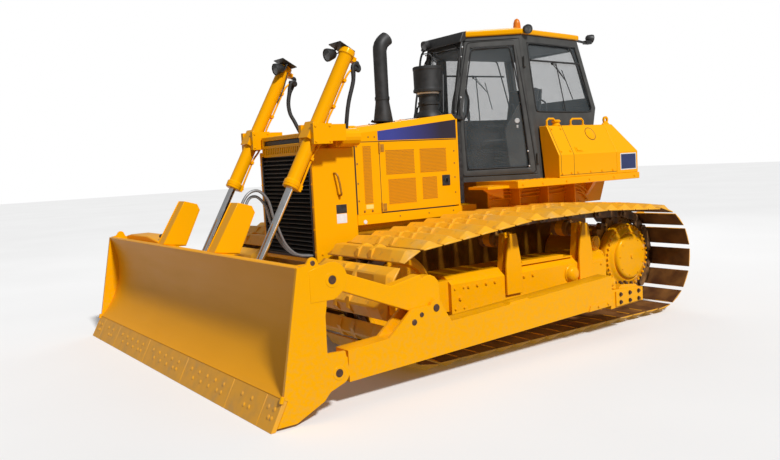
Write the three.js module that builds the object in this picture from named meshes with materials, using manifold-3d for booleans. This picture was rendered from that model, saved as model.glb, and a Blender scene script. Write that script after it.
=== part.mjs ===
// Low-ground-pressure crawler bulldozer with a straight blade on outboard push arms.
// Millimetres, +X forward, +Y to the machine's left, +Z up, ground at z = 0.
// Inside this file x is counted from the drive sprockets' axle; the finished group is moved so that
// its origin is under the middle of the machine.
import * as THREE from 'three';
import { ConvexGeometry } from 'three/addons/geometries/ConvexGeometry.js';
import { mergeVertices } from 'three/addons/utils/BufferGeometryUtils.js';
import Module from 'manifold-3d';

const wasm = await Module();
wasm.setup();

// ---------------------------------------------------------------- driving dimensions

const seat = 0.3; // gap between pieces that sit against each other
const running = 6; // gap round doors and other moving panels

const track = {
  gauge: 2310, shoeWidth: 1110, shoes: 42,
  sprocketRadius: 440, idlerRadius: 400, wheelbase: 2900, // radii of the chain's pitch line
  linkHalf: 50, shoePlate: 12, grouser: 70,
  railSpacing: 160, railWidth: 40,
  carrierX: [1750, 780], carrierRise: [1040, 1050], carrierRadius: 80,
  rollers: 6, rollerRadius: 85,
};
const trackFrame = {
  inner: 960, outer: 1400, bottom: 330, shoulder: 600, top: 665,
  rear: 450, sidePlate: 36, plateBottom: 215,
};
const finalDrive = { caseRadius: 270, drumRadius: 315, coverRadius: 340, coverFace: 1372 };
const hull = {
  halfWidth: 420, bottom: 400, top: 1105, rear: -430, front: 2780, noseBottom: 640,
  sillHalfWidth: 500, sillTop: 1190, sillRear: 1330,
};
const pivotShaft = { x: 620, z: 500, radius: 75 };
const equaliser = { x: 2230, length: 190, depth: 120 };
const drawbar = {
  length: 240, halfWidth: 150, top: 730, thickness: 45, slot: 115,
  plate: 60, plateHalfWidth: 260, plateTop: 1000,
};

const guard = {
  rear: 2780, front: 3230, halfWidth: 500, bottom: 800, top: 1960, wall: 40,
  notchHalfWidth: 440, notchBottom: 1815,
};
const grille = { thickness: 30, margin: 25, bandHeight: 70, slats: 12 };
const hood = {
  rear: 1560, halfWidth: 500, sheet: 25, seam: 1858, topFront: 1985, topRear: 2110, shoulder: 55,
};
const sidePanel = { rear: 2505 };
const engine = { rear: 1700, front: 2600, halfWidth: 330, top: 1800 };
const exhaust = { x: 2160, y: 110, radius: 68, baseRadius: 95, base: 190, straight: 690, tip: 130 };
const cleaner = { x: 1625, y: 170, bowlRadius: 147, neckRadius: 100, neckTop: 2350, top: 2610 };

const cab = {
  wall: 50, floor: 60, base: 1410, knee: 2150, eave: 2900,
  front: { base: [1360, 300], knee: [1385, 300], eave: [1225, 290] },
  middle: { base: [670, 780], knee: [717, 722], eave: [765, 665] },
  rear: { base: [-190, 680], knee: [-420, 620], eave: [-230, 540] },
};
const roof = { overhang: 22, edge: 50, crown: 32, crownInset: 90 };
const door = { sill: 55, head: 45, latchMargin: 18, hingeMargin: 30, glassRim: 62 };
const glassPane = { depth: 18, thickness: 6 };
const rearWall = { windowSill: 2060 };

const seatSize = {
  rear: 40, front: 590, halfWidth: 255, pedestal: 245, pedestalHalf: 170, cushion: 155, backTop: 960,
};
const dashboard = { rear: 1110, front: 1290, height: 560, halfWidth: 170 };
const armrest = { rear: 120, front: 700, inner: 290, outer: 430, height: 560 };
const beaconSize = { x: 620, y: 470, baseRadius: 48, lensRadius: 40, height: 120 };

const deck = { top: 1410, thickness: 70, halfWidth: 1022, front: 1250, rear: -640, gusset: 300 };
const sideTank = { front: 640, outer: 1010, shoulderZ: 1640, top: 1948, topOuter: 850 };
const rearTank = { front: -270, rear: -630, top: 1950, shoulderZ: 1650, topRear: -400, cabClearance: 12 };
const tankInner = { base: 806, top: 748 };

const blade = {
  halfWidth: 2056, edgeTip: 4541, seam: [4437, 196], topFront: [4285, 1018],
  sag: 135, plate: 22, endPlate: 25, edgeThickness: 32,
};
const armPin = { x: 4015, z: 285, radius: 38 };
const armPivot = { x: 850, z: 340, radius: 58, sides: 20, capWall: 40 };
const armCap = { rear: 665, bottom: 255, top: 425, rearTop: 400 };
const arm = {
  outer: 1980, width: 160, rearX: 1100, rearZ: 424, rearHalf: 129, frontHalf: 109, boxEnd: 3890,
};
const brace = { pinX: 4030, pinZ: 912, rearX: 3105, rearZ: 575, width: 96, pinRadius: 32 };
const lift = {
  y: 580, trunnionX: 3245, trunnionZ: 1940, eyeX: 3950, eyeZ: 680,
  barrelRadius: 62, barrelUp: 830, barrelDown: 535, rodRadius: 33, eyeRadius: 58, eyeWidth: 84,
  collar: 12, trunnionRadius: 40, cheek: 40, slip: 0.8, rodInner: 100,
};
const liftSupport = { radius: 78, rear: 2800, drop: 40, throat: 200, blockFront: 3020 };
const lamp = { length: 95, width: 150, height: 110 };
const hose = { radius: 17, bulge: 70 };

// ---------------------------------------------------------------- materials

const paint = (color, roughness = 0.42, metalness = 0.15) =>
  new THREE.MeshStandardMaterial({ color, roughness, metalness });
const yellow = () => paint(0xf7a800);
const wornYellow = () => paint(0xc98a1c, 0.6);
const charcoal = () => paint(0x3d3d3b, 0.5);
const black = () => paint(0x151515, 0.6, 0.1);
const steel = () => paint(0x8a8a88, 0.35, 0.9);
const chrome = () => paint(0xd8d8dc, 0.12, 1);
const rubber = () => paint(0x101010, 0.8, 0);
const amber = () => paint(0xd86a10, 0.3, 0);
const tinted = () => new THREE.MeshStandardMaterial({
  color: 0x5a6266, roughness: 0.1, metalness: 0, transparent: true, opacity: 0.35,
});

// ---------------------------------------------------------------- shapes

const X = new THREE.Vector3(1, 0, 0);
const Y = new THREE.Vector3(0, 1, 0);
const Z = new THREE.Vector3(0, 0, 1);

function box(x0, x1, y0, y1, z0, z1) {
  const shape = new THREE.BoxGeometry(x1 - x0, y1 - y0, z1 - z0);
  return shape.translate((x0 + x1) / 2, (y0 + y1) / 2, (z0 + z1) / 2);
}

function extrude(outline, depth, holes = []) {
  const shape = new THREE.Shape(outline.map(([u, v]) => new THREE.Vector2(u, v)));
  for (const hole of holes) shape.holes.push(new THREE.Path(hole.map(([u, v]) => new THREE.Vector2(u, v))));
  return new THREE.ExtrudeGeometry(shape, { depth, bevelEnabled: false });
}

// Side-view outline (x, z) carried across from y0 to y1.
function slabXZ(outline, y0, y1, holes = []) {
  const basis = new THREE.Matrix4().makeBasis(X, Z, Y.clone().negate());
  return extrude(outline, y1 - y0, holes).applyMatrix4(basis).translate(0, y1, 0);
}

// Front-view outline (y, z) carried along from x0 to x1.
function slabYZ(outline, x0, x1, holes = []) {
  const basis = new THREE.Matrix4().makeBasis(Y, Z, X);
  return extrude(outline, x1 - x0, holes).applyMatrix4(basis).translate(x0, 0, 0);
}

// Plan outline (x, y) carried up from z0 to z1.
function slabXY(outline, z0, z1) {
  return extrude(outline, z1 - z0).translate(0, 0, z0);
}

function roundY(x, z, radius, y0, y1, sides = 20) {
  return new THREE.CylinderGeometry(radius, radius, y1 - y0, sides).translate(x, (y0 + y1) / 2, z);
}

function roundX(y, z, radius, x0, x1, sides = 16) {
  const shape = new THREE.CylinderGeometry(radius, radius, x1 - x0, sides).rotateZ(Math.PI / 2);
  return shape.translate((x0 + x1) / 2, y, z);
}

function roundZ(x, y, radius, z0, z1, sides = 16, topRadius = radius) {
  const shape = new THREE.CylinderGeometry(topRadius, radius, z1 - z0, sides).rotateX(Math.PI / 2);
  return shape.translate(x, y, (z0 + z1) / 2);
}

// A turned piece about the Y axis; the profile is a list of [radius, y].
function turned(profile, x, z, sides = 24) {
  const points = profile.map(([r, y]) => new THREE.Vector2(r, y));
  return new THREE.LatheGeometry(points, sides).translate(x, 0, z);
}

const pinSides = 12;

// A many-sided bore along Y in which a pin of the same number of sides can turn; its flats face the
// pin's corners at rest.
function turningBore(x, z, radius, y0, y1, sides) {
  const corner = (radius + 2 * seat) / Math.cos(Math.PI / sides);
  const bore = new THREE.CylinderGeometry(corner, corner, y1 - y0, sides, 1, false, Math.PI / sides);
  return bore.translate(x, (y0 + y1) / 2, z);
}

function toSolid(geometry) {
  const bare = geometry.clone();
  bare.deleteAttribute('normal');
  bare.deleteAttribute('uv');
  const merged = mergeVertices(bare, 1e-3);
  const index = merged.index.array;
  const keep = [];
  for (let i = 0; i < index.length; i += 3) {
    const [a, b, c] = [index[i], index[i + 1], index[i + 2]];
    if (a !== b && b !== c && a !== c) keep.push(a, b, c);
  }
  const mesh = new wasm.Mesh({
    numProp: 3,
    vertProperties: new Float32Array(merged.attributes.position.array),
    triVerts: new Uint32Array(keep),
  });
  return new wasm.Manifold(mesh);
}

function toGeometry(solid) {
  const mesh = solid.getMesh();
  const geometry = new THREE.BufferGeometry();
  geometry.setAttribute('position', new THREE.BufferAttribute(mesh.vertProperties, 3));
  geometry.setIndex(new THREE.BufferAttribute(mesh.triVerts, 1));
  return geometry;
}

function join(...shapes) {
  return toGeometry(shapes.map(toSolid).reduce((a, b) => a.add(b)));
}

function cut(shape, ...tools) {
  return toGeometry(tools.map(toSolid).reduce((a, b) => a.subtract(b), toSolid(shape)));
}

function common(a, b) {
  return toGeometry(toSolid(a).intersect(toSolid(b)));
}

// The same piece on the machine's other side.
function mirrored(geometry) {
  const copy = geometry.index ? geometry.toNonIndexed() : geometry.clone();
  copy.deleteAttribute('normal');
  copy.deleteAttribute('uv');
  const p = copy.attributes.position.array;
  for (let i = 0; i < p.length; i += 9) {
    for (let k = 0; k < 3; k += 1) [p[i + 3 + k], p[i + 6 + k]] = [p[i + 6 + k], p[i + 3 + k]];
    for (const k of [1, 4, 7]) p[i + k] = -p[i + k];
  }
  return mergeVertices(copy, 1e-4);
}

// Moves each side of a convex outline inwards by d (outwards when d is negative).
function inset(outline, d) {
  const area = outline.reduce((sum, [x, y], i) => {
    const [nx, ny] = outline[(i + 1) % outline.length];
    return sum + x * ny - nx * y;
  }, 0);
  const turn = Math.sign(area);
  const sides = outline.map(([x, y], i) => {
    const [nx, ny] = outline[(i + 1) % outline.length];
    const length = Math.hypot(nx - x, ny - y);
    const normal = [(-(ny - y) / length) * turn, ((nx - x) / length) * turn];
    return { x: x + normal[0] * d, y: y + normal[1] * d, dx: nx - x, dy: ny - y };
  });
  return sides.map((side, i) => {
    const last = sides[(i + sides.length - 1) % sides.length];
    const cross = last.dx * side.dy - last.dy * side.dx;
    const t = ((side.x - last.x) * side.dy - (side.y - last.y) * side.dx) / cross;
    return [last.x + last.dx * t, last.y + last.dy * t];
  });
}

const arcPoints = (cx, cz, r, from, to, steps) =>
  Array.from({ length: steps + 1 }, (_, i) => {
    const a = from + ((to - from) * i) / steps;
    return [cx + r * Math.cos(a), cz + r * Math.sin(a)];
  });

// ---------------------------------------------------------------- the assembly

const machine = new THREE.Group();

function piece(name, geometry, material) {
  const mesh = new THREE.Mesh(geometry, material);
  mesh.name = name;
  machine.add(mesh);
}

function pair(name, geometry, makeMaterial) {
  piece(`left_${name}`, geometry, makeMaterial());
  piece(`right_${name}`, mirrored(geometry), makeMaterial());
}

// ---------------------------------------------------------------- crawler tracks

const groundPitch = track.linkHalf + track.grouser; // height of the chain's pitch line on the ground run
const sprocketZ = track.sprocketRadius + groundPitch;
const idlerZ = track.idlerRadius + groundPitch;
const trackY = track.gauge / 2;
const carrierZ = track.carrierRise.map((rise) => rise - track.linkHalf - track.carrierRadius);

// The closed line of the chain's pins: sprocket, idler, then the two carrier rollers of the top run.
function chainLine() {
  const wheels = [
    { x: 0, z: sprocketZ, r: track.sprocketRadius },
    { x: track.wheelbase, z: idlerZ, r: track.idlerRadius },
    ...track.carrierX.map((x, i) => ({ x, z: carrierZ[i], r: track.carrierRadius + track.linkHalf })),
  ];
  const leave = wheels.map((a, i) => {
    const b = wheels[(i + 1) % wheels.length];
    const distance = Math.hypot(b.x - a.x, b.z - a.z);
    return Math.atan2(b.z - a.z, b.x - a.x) - Math.acos((a.r - b.r) / distance);
  });
  const stretches = [];
  wheels.forEach((wheel, i) => {
    const from = leave[(i + wheels.length - 1) % wheels.length];
    let to = leave[i];
    while (to < from) to += 2 * Math.PI;
    stretches.push({ ...wheel, from, to, length: wheel.r * (to - from) });
    const next = wheels[(i + 1) % wheels.length];
    const a = [wheel.x + wheel.r * Math.cos(to), wheel.z + wheel.r * Math.sin(to)];
    const b = [next.x + next.r * Math.cos(to), next.z + next.r * Math.sin(to)];
    stretches.push({ a, b, normal: to, length: Math.hypot(b[0] - a[0], b[1] - a[1]) });
  });
  const total = stretches.reduce((sum, part) => sum + part.length, 0);
  const at = (distance) => {
    let s = ((distance % total) + total) % total;
    let i = 0;
    while (s > stretches[i].length && i < stretches.length - 1) s -= stretches[i++].length;
    const part = stretches[i];
    if (part.a) {
      const t = s / part.length;
      return {
        x: part.a[0] + (part.b[0] - part.a[0]) * t, z: part.a[1] + (part.b[1] - part.a[1]) * t,
        angle: part.normal,
      };
    }
    const angle = part.from + s / part.r;
    return { x: part.x + part.r * Math.cos(angle), z: part.z + part.r * Math.sin(angle), angle };
  };
  const offset = (d, step) => stretches.flatMap((part) => {
    if (part.a) return [];
    const steps = Math.max(1, Math.ceil((part.to - part.from) / step));
    return arcPoints(part.x, part.z, part.r + d, part.from, part.to, steps);
  });
  return { total, at, offset };
}

const chain = chainLine();
const shoePitch = chain.total / track.shoes;

function shoeOutline() {
  const half = shoePitch * 0.47;
  return Array.from({ length: track.shoes }, (_, k) => {
    const { x, z, angle } = chain.at((k + 0.5) * shoePitch);
    const out = [Math.cos(angle), Math.sin(angle)];
    const along = [-out[1], out[0]];
    const point = (t, rise) => [
      x + along[0] * t + out[0] * (track.linkHalf + rise),
      z + along[1] * t + out[1] * (track.linkHalf + rise),
    ];
    return [point(-half, track.shoePlate), point(0, track.grouser), point(half, track.shoePlate)];
  }).flat();
}

function crawlerTrack() {
  const wrap = 0.26;
  const half = track.shoeWidth / 2;
  const shoes = slabXZ(shoeOutline(), trackY - half, trackY + half, [chain.offset(track.linkHalf, wrap)]);
  const rails = [-1, 1].map((side) => {
    const middle = trackY + (side * track.railSpacing) / 2;
    return slabXZ(
      chain.offset(track.linkHalf + 2, wrap),
      middle - track.railWidth / 2,
      middle + track.railWidth / 2,
      [chain.offset(-track.linkHalf, wrap)],
    );
  });
  return join(shoes, ...rails);
}
pair('track', crawlerTrack(), wornYellow);

function sprocketAndFinalDrive() {
  const f = finalDrive;
  const innerRail = trackY - track.railSpacing / 2 - track.railWidth / 2;
  const outerRail = trackY + track.railSpacing / 2 + track.railWidth / 2;
  const profile = [
    [0, hull.halfWidth + seat], [f.caseRadius, hull.halfWidth + seat], [f.caseRadius, 760],
    [f.drumRadius, 800], [f.drumRadius, innerRail - 25], [f.coverRadius, outerRail - 45],
    [f.coverRadius, f.coverFace - 34], [f.coverRadius - 45, f.coverFace - 34],
    [f.coverRadius - 60, f.coverFace], [0, f.coverFace],
  ];
  const teeth = 27;
  const tip = track.sprocketRadius - 14;
  const root = track.sprocketRadius - 48;
  const toothed = Array.from({ length: 2 * teeth }, (_, i) => {
    const a = (Math.PI * i) / teeth;
    const r = i % 2 ? root : tip;
    return [r * Math.cos(a), sprocketZ + r * Math.sin(a)];
  });
  return join(turned(profile, 0, sprocketZ, 22), slabXZ(toothed, trackY - 32, trackY + 32));
}
pair('final_drive', sprocketAndFinalDrive(), yellow);

function frontIdler() {
  const tread = track.idlerRadius - track.linkHalf - 5;
  const flange = track.idlerRadius - 12;
  const half = track.railSpacing / 2 + track.railWidth / 2;
  const flangeHalf = track.railSpacing / 2 - track.railWidth / 2 - 8;
  const profile = [
    [0, -half - 18], [90, -half - 18], [90, -half + 24], [tread - 50, -half + 24], [tread - 50, -half],
    [tread, -half], [tread, -flangeHalf], [flange, -flangeHalf + 10], [flange, flangeHalf - 10],
    [tread, flangeHalf], [tread, half], [tread - 50, half], [tread - 50, half - 24],
    [90, half - 24], [90, half + 18], [0, half + 18],
  ];
  return turned(profile, track.wheelbase, idlerZ, 22).translate(0, trackY, 0);
}
pair('idler', frontIdler(), yellow);

function trackFrameWithRollers() {
  const f = trackFrame;
  const railTop = groundPitch + track.linkHalf;
  const rollerZ = railTop + track.rollerRadius + seat;
  const idlerClear = track.wheelbase - track.idlerRadius - 30;
  const section = [
    [f.inner, f.bottom], [f.outer, f.bottom], [f.outer, f.shoulder], [f.outer - 90, f.top],
    [f.inner, f.top],
  ];
  const body = slabYZ(section, f.rear, idlerClear);
  const half = track.railSpacing / 2 + track.railWidth / 2;
  const forkInner = trackY - half - 18 - seat;
  const forkOuter = trackY + half + 18 + seat;
  const forkEnd = track.wheelbase + 130;
  const fork = [
    [idlerClear - 60, f.bottom + 30], [forkEnd, idlerZ - 105], [forkEnd, idlerZ + 90],
    [idlerClear - 60, f.top - 25],
  ];
  const forks = [
    slabXZ(fork, f.inner + 20, forkInner),
    slabXZ(fork, forkOuter, f.outer - 40),
  ];
  const firstRoller = f.rear + 50;
  const lastRoller = idlerClear - 40;
  const skirt = [
    [f.rear, f.bottom + 10], [f.rear, rollerZ], [f.rear + 40, f.plateBottom],
    [idlerClear - 30, f.plateBottom], [idlerClear, rollerZ], [idlerClear, f.bottom + 10],
  ];
  const skirts = [
    slabXZ(skirt, trackY - half - 25 - f.sidePlate, trackY - half - 25),
    slabXZ(skirt, trackY + half + 25, trackY + half + 25 + f.sidePlate),
  ];
  const rollers = Array.from({ length: track.rollers }, (_, i) => {
    const x = firstRoller + ((lastRoller - firstRoller) * i) / (track.rollers - 1);
    const r = track.rollerRadius;
    const reach = half + 30;
    const profile = [
      [0, -reach], [45, -reach], [45, -half], [r, -half], [r, half], [45, half], [45, reach], [0, reach],
    ];
    return turned(profile, x, rollerZ, 10).translate(0, trackY, 0);
  });
  const carriers = track.carrierX.flatMap((x, i) => {
    const z = carrierZ[i];
    const r = track.carrierRadius - seat;
    const post = forkOuter + 30;
    const end = post - trackY + 20;
    const profile = [[0, -half], [r, -half], [r, half - 10], [40, half - 10], [40, end], [0, end]];
    return [
      turned(profile, x, z, 12).translate(0, trackY, 0),
      slabXZ(
        [[x - 95, f.shoulder], [x + 95, f.shoulder], [x + 52, z + 60], [x - 52, z + 60]], post, post + 62,
      ),
    ];
  });
  const boss = roundY(pivotShaft.x, pivotShaft.z, pivotShaft.radius + 55, f.inner - 40, f.inner + 30);
  const boreClear = roundY(pivotShaft.x, pivotShaft.z, pivotShaft.radius + seat, f.inner - 60, f.inner + 90);
  const armBall = [
    slabXZ(
      [[armPivot.x - 190, 345], [armPivot.x + 190, 345], [armPivot.x + 90, 430], [armPivot.x - 90, 430]],
      f.outer - 10, f.outer + 60,
    ),
    roundY(
      armPivot.x, armPivot.z, armPivot.radius, f.outer - 20, arm.outer - armPivot.capWall - 25,
      armPivot.sides,
    ),
  ];
  return cut(join(body, ...forks, ...skirts, ...rollers, ...carriers, boss, ...armBall), boreClear);
}
pair('track_frame', trackFrameWithRollers(), yellow);

// ---------------------------------------------------------------- hull

function mainFrame() {
  const h = hull;
  const side = [
    [h.rear, 560], [h.rear + 170, h.bottom], [h.front - 330, h.bottom], [h.front + 250, h.noseBottom],
    [guard.front - 30, guard.bottom - seat], [h.front - 10, guard.bottom - seat],
    [h.front - 10, h.top], [h.rear, h.top],
  ];
  const body = slabXZ(side, -h.halfWidth, h.halfWidth);
  const sill = box(h.sillRear, guard.rear - seat, -h.sillHalfWidth, h.sillHalfWidth, h.top - 5, h.sillTop);
  const rear = hood.rear - seat;
  const firewall = box(
    rear - 20, rear, -hood.halfWidth, hood.halfWidth, h.sillTop - 5, hood.topRear - hood.shoulder,
  );
  const shaft = roundY(
    pivotShaft.x, pivotShaft.z, pivotShaft.radius, -trackFrame.inner - 50, trackFrame.inner + 50,
  );
  const cabMounts = [deck.rear + 320, deck.front - 420].map((x) =>
    box(x, x + 160, -h.halfWidth, h.halfWidth, h.top - 5, cab.base - seat));
  return join(body, sill, firewall, shaft, ...cabMounts);
}
piece('main_frame', mainFrame(), yellow());

function equaliserBar() {
  const e = equaliser;
  const reach = trackFrame.inner - 20;
  const top = hull.bottom - seat;
  return box(e.x - e.length / 2, e.x + e.length / 2, -reach, reach, top - e.depth, top);
}
piece('equaliser_bar', equaliserBar(), yellow());

function rearDrawbar() {
  const d = drawbar;
  const x0 = hull.rear - seat;
  const back = x0 - d.length;
  const low = d.top - 2 * d.thickness - d.slot;
  const plate = box(x0 - d.plate, x0, -d.plateHalfWidth, d.plateHalfWidth, low, d.plateTop);
  const jaws = box(back, x0 - 10, -d.halfWidth, d.halfWidth, low, d.top);
  const slot = box(
    back - 5, x0 - d.plate - 30, -d.halfWidth - 5, d.halfWidth + 5, low + d.thickness,
    d.top - d.thickness,
  );
  return cut(join(plate, jaws), slot);
}
piece('rear_drawbar', rearDrawbar(), yellow());

// ---------------------------------------------------------------- radiator guard, hood and engine

// The guard's front view moved in by d: full width below, notched at the top for the lift cylinders.
function guardSection(d) {
  const g = guard;
  const [w, n] = [g.halfWidth - d, g.notchHalfWidth - d];
  const [bottom, shoulder, top] = [g.bottom + d, g.notchBottom - d, g.top - d];
  return [
    [-w, bottom], [w, bottom], [w, shoulder], [n, shoulder], [n, top], [-n, top], [-n, shoulder],
    [-w, shoulder],
  ];
}

function radiatorGuard() {
  const g = guard;
  const [outer, inner] = [guardSection(0), guardSection(g.wall)];
  return cut(slabYZ(outer, g.rear, g.front), slabYZ(inner, g.rear - 10, g.front + 10));
}
piece('radiator_guard', radiatorGuard(), yellow());

function radiatorGrille() {
  const [rear, front] = [guard.front - grille.thickness, guard.front];
  const panel = slabYZ(guardSection(guard.wall + seat), rear, front);
  const w = guard.halfWidth - guard.wall - grille.margin;
  const z0 = guard.bottom + guard.wall + grille.margin;
  const step = (guard.notchBottom - grille.bandHeight - z0) / grille.slats;
  const slots = Array.from({ length: grille.slats }, (_, i) => {
    const z = z0 + i * step;
    return box(rear - 5, front + 5, -w, w, z, z + step * 0.42);
  });
  return cut(panel, ...slots);
}
piece('radiator_grille', radiatorGrille(), black());

const hoodSlope = (hood.topFront - hood.topRear) / (guard.rear - hood.rear);
const hoodTopAt = (x) => hood.topRear + hoodSlope * (x - hood.rear);

function hoodTop() {
  const h = hood;
  const x1 = guard.rear - seat;
  const section = (x, d) => {
    const w = h.halfWidth - d;
    const top = hoodTopAt(x) - d;
    const low = d ? h.seam - 10 : h.seam;
    return [
      [w, low], [w, top - h.shoulder], [w - h.shoulder, top], [-w + h.shoulder, top],
      [-w, top - h.shoulder], [-w, low],
    ]
      .map(([y, z]) => new THREE.Vector3(x, y, z));
  };
  const outer = new ConvexGeometry([...section(h.rear, 0), ...section(x1, 0)]);
  const inner = new ConvexGeometry([...section(h.rear + h.sheet, h.sheet), ...section(x1 + 20, h.sheet)]);
  return cut(outer, inner);
}
piece('hood_top', hoodTop(), yellow());

function frontSidePanel() {
  const y = hood.halfWidth;
  return box(sidePanel.rear, guard.rear - seat, y - hood.sheet, y, hull.sillTop + seat, hood.seam - seat);
}
pair('front_side_panel', frontSidePanel(), yellow);

function engineDoor() {
  const y = hood.halfWidth;
  return box(
    hood.rear, sidePanel.rear - seat, y - hood.sheet, y, hull.sillTop + running + 6, hood.seam - running,
  );
}
pair('engine_door', engineDoor(), yellow);

const engineFoot = hull.sillTop + seat;
const engineBlock = box(
  engine.rear, engine.front, -engine.halfWidth, engine.halfWidth, engineFoot, engine.top,
);
piece('engine_block', engineBlock, steel());

function exhaustStack() {
  const e = exhaust;
  const base = hoodTopAt(e.x - e.baseRadius) + seat;
  const foot = roundZ(e.x, e.y, e.baseRadius, base, base + e.base, 16, e.radius);
  const pipe = roundZ(e.x, e.y, e.radius, base + e.base - 1, base + e.straight);
  const bend = new THREE.CubicBezierCurve3(
    new THREE.Vector3(e.x, e.y, base + e.straight - 1),
    new THREE.Vector3(e.x, e.y, base + e.straight + e.tip * 0.5),
    new THREE.Vector3(e.x - e.tip * 0.15, e.y, base + e.straight + e.tip * 0.6),
    new THREE.Vector3(e.x - e.tip * 0.75, e.y, base + e.straight + e.tip),
  );
  const round = new THREE.Shape().absarc(0, 0, e.radius, 0, 2 * Math.PI);
  const tip = new THREE.ExtrudeGeometry(round, { steps: 4, curveSegments: 8, extrudePath: bend });
  return join(foot, pipe, tip);
}
piece('exhaust_stack', exhaustStack(), black());

function airPrecleaner() {
  const c = cleaner;
  const base = hoodTopAt(Math.max(c.x - c.neckRadius, hood.rear)) + seat;
  return join(
    roundZ(c.x, c.y, c.neckRadius, base, c.neckTop + 5),
    roundZ(c.x, c.y, c.neckRadius + 20, c.neckTop, c.neckTop + 40, 18, c.bowlRadius),
    roundZ(c.x, c.y, c.bowlRadius, c.neckTop + 39, c.top, 18),
  );
}
piece('air_precleaner', airPrecleaner(), black());

// ---------------------------------------------------------------- cab

const cabCorners = (level) => {
  const [f, m, r] = [cab.front[level], cab.middle[level], cab.rear[level]];
  return [f, m, r, [r[0], -r[1]], [m[0], -m[1]], [f[0], -f[1]]];
};
const cabLevels = ['base', 'knee', 'eave'];

// The cab's six-sided body, its walls moved in by d.
function cabBody(d, bottom = cab.base, rise = 0) {
  const points = cabLevels.flatMap((level) => {
    const z = { base: bottom, knee: cab.knee, eave: cab.eave + rise }[level];
    return inset(cabCorners(level), d).map(([x, y]) => new THREE.Vector3(x, y, z));
  });
  return new ConvexGeometry(points);
}

// Where one of the cab's corner posts is at height z.
function postAt(post, z) {
  const [low, high] = z < cab.knee ? ['base', 'knee'] : ['knee', 'eave'];
  const t = (z - cab[low]) / (cab[high] - cab[low]);
  return post[low].map((v, i) => v + (post[high][i] - v) * t);
}

// A flat side of the cab between two posts: u runs from the first post to the second.
function cabSide(first, second) {
  const [x0, y0] = first.base;
  const length = Math.hypot(second.base[0] - x0, second.base[1] - y0);
  const u = [(second.base[0] - x0) / length, (second.base[1] - y0) / length];
  const along = (post, z) => {
    const [x, y] = postAt(post, z);
    return (x - x0) * u[0] + (y - y0) * u[1];
  };
  const through = (outline, inward = 320, outward = 200) => {
    const basis = new THREE.Matrix4().makeBasis(
      new THREE.Vector3(u[0], u[1], 0), Z, new THREE.Vector3(u[1], -u[0], 0),
    );
    const prism = extrude(outline, inward + outward).translate(0, 0, -inward);
    return prism.applyMatrix4(basis).translate(x0, y0, 0);
  };
  const strip = (z0, z1, startMargin, endMargin) => {
    const levels = z0 < cab.knee && z1 > cab.knee ? [z0, cab.knee, z1] : [z0, z1];
    return [
      ...levels.map((z) => [along(first, z) + startMargin, z]),
      ...levels.toReversed().map((z) => [along(second, z) - endMargin, z]),
    ].reverse();
  };
  return { through, strip };
}

const flip = ({ base, knee, eave }) => ({
  base: [base[0], -base[1]], knee: [knee[0], -knee[1]], eave: [eave[0], -eave[1]],
});
const doorSide = cabSide(cab.front, cab.middle);
const quarterSide = cabSide(cab.middle, cab.rear);
const screenSide = cabSide(flip(cab.front), cab.front);
const rearSide = cabSide(cab.rear, flip(cab.rear));

const doorOutline = doorSide.strip(
  cab.base + door.sill, cab.eave - door.head, door.latchMargin, door.hingeMargin,
);
const doorOpening = doorSide.strip(
  cab.base + door.sill - running, cab.eave - door.head + running,
  door.latchMargin - running, door.hingeMargin - seat,
);
const doorWindow = inset(doorOutline, door.glassRim);
const quarterWindow = inset(quarterSide.strip(deck.top + 640, cab.eave - 30, 20, 20), 50);
const screenWindow = inset(screenSide.strip(cab.base + 420, cab.eave - 40, 0, 0), 48);
const rearWindow = inset(rearSide.strip(rearWall.windowSill, cab.eave - 40, 0, 0), 70);

function cabFrame() {
  const shell = cut(cabBody(0), cabBody(cab.wall, cab.base + cab.floor, 20));
  return cut(
    shell,
    doorSide.through(doorOpening), mirrored(doorSide.through(doorOpening)),
    quarterSide.through(quarterWindow), mirrored(quarterSide.through(quarterWindow)),
    screenSide.through(screenWindow), rearSide.through(rearWindow),
  );
}
piece('cab_frame', cabFrame(), charcoal());

function cabDoor() {
  const leaf = common(cut(cabBody(0), cabBody(cab.wall, cab.base + 1, 20)), doorSide.through(doorOutline));
  return cut(leaf, doorSide.through(doorWindow));
}
pair('cab_door', cabDoor(), charcoal);

function pane(side, window) {
  const { depth, thickness } = glassPane;
  const sheet = cut(cabBody(depth), cabBody(depth + thickness, cab.base - 20, 20));
  return common(sheet, side.through(inset(window, seat)));
}
pair('door_glass', pane(doorSide, doorWindow), tinted);
pair('quarter_glass', pane(quarterSide, quarterWindow), tinted);
piece('windscreen', pane(screenSide, screenWindow), tinted());
piece('rear_glass', pane(rearSide, rearWindow), tinted());

function cabRoof() {
  const eave = inset(cabCorners('eave'), -roof.overhang);
  const crown = inset(cabCorners('eave'), roof.crownInset);
  const z = cab.eave + seat;
  return new ConvexGeometry([
    ...eave.flatMap(([x, y]) => [new THREE.Vector3(x, y, z), new THREE.Vector3(x, y, z + roof.edge)]),
    ...crown.map(([x, y]) => new THREE.Vector3(x, y, z + roof.edge + roof.crown)),
  ]);
}
piece('cab_roof', cabRoof(), yellow());

const roofTop = cab.eave + seat + roof.edge + roof.crown;
const { x: beaconX, y: beaconY } = beaconSize;
const beacon = join(
  roundZ(beaconX, beaconY, beaconSize.baseRadius, roofTop - roof.crown - 2, roofTop + 30, 14),
  roundZ(beaconX, beaconY, beaconSize.lensRadius, roofTop + 29, roofTop + beaconSize.height, 14, 30),
);
piece('beacon', cut(beacon, cabRoof().translate(0, 0, seat)), amber());

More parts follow.
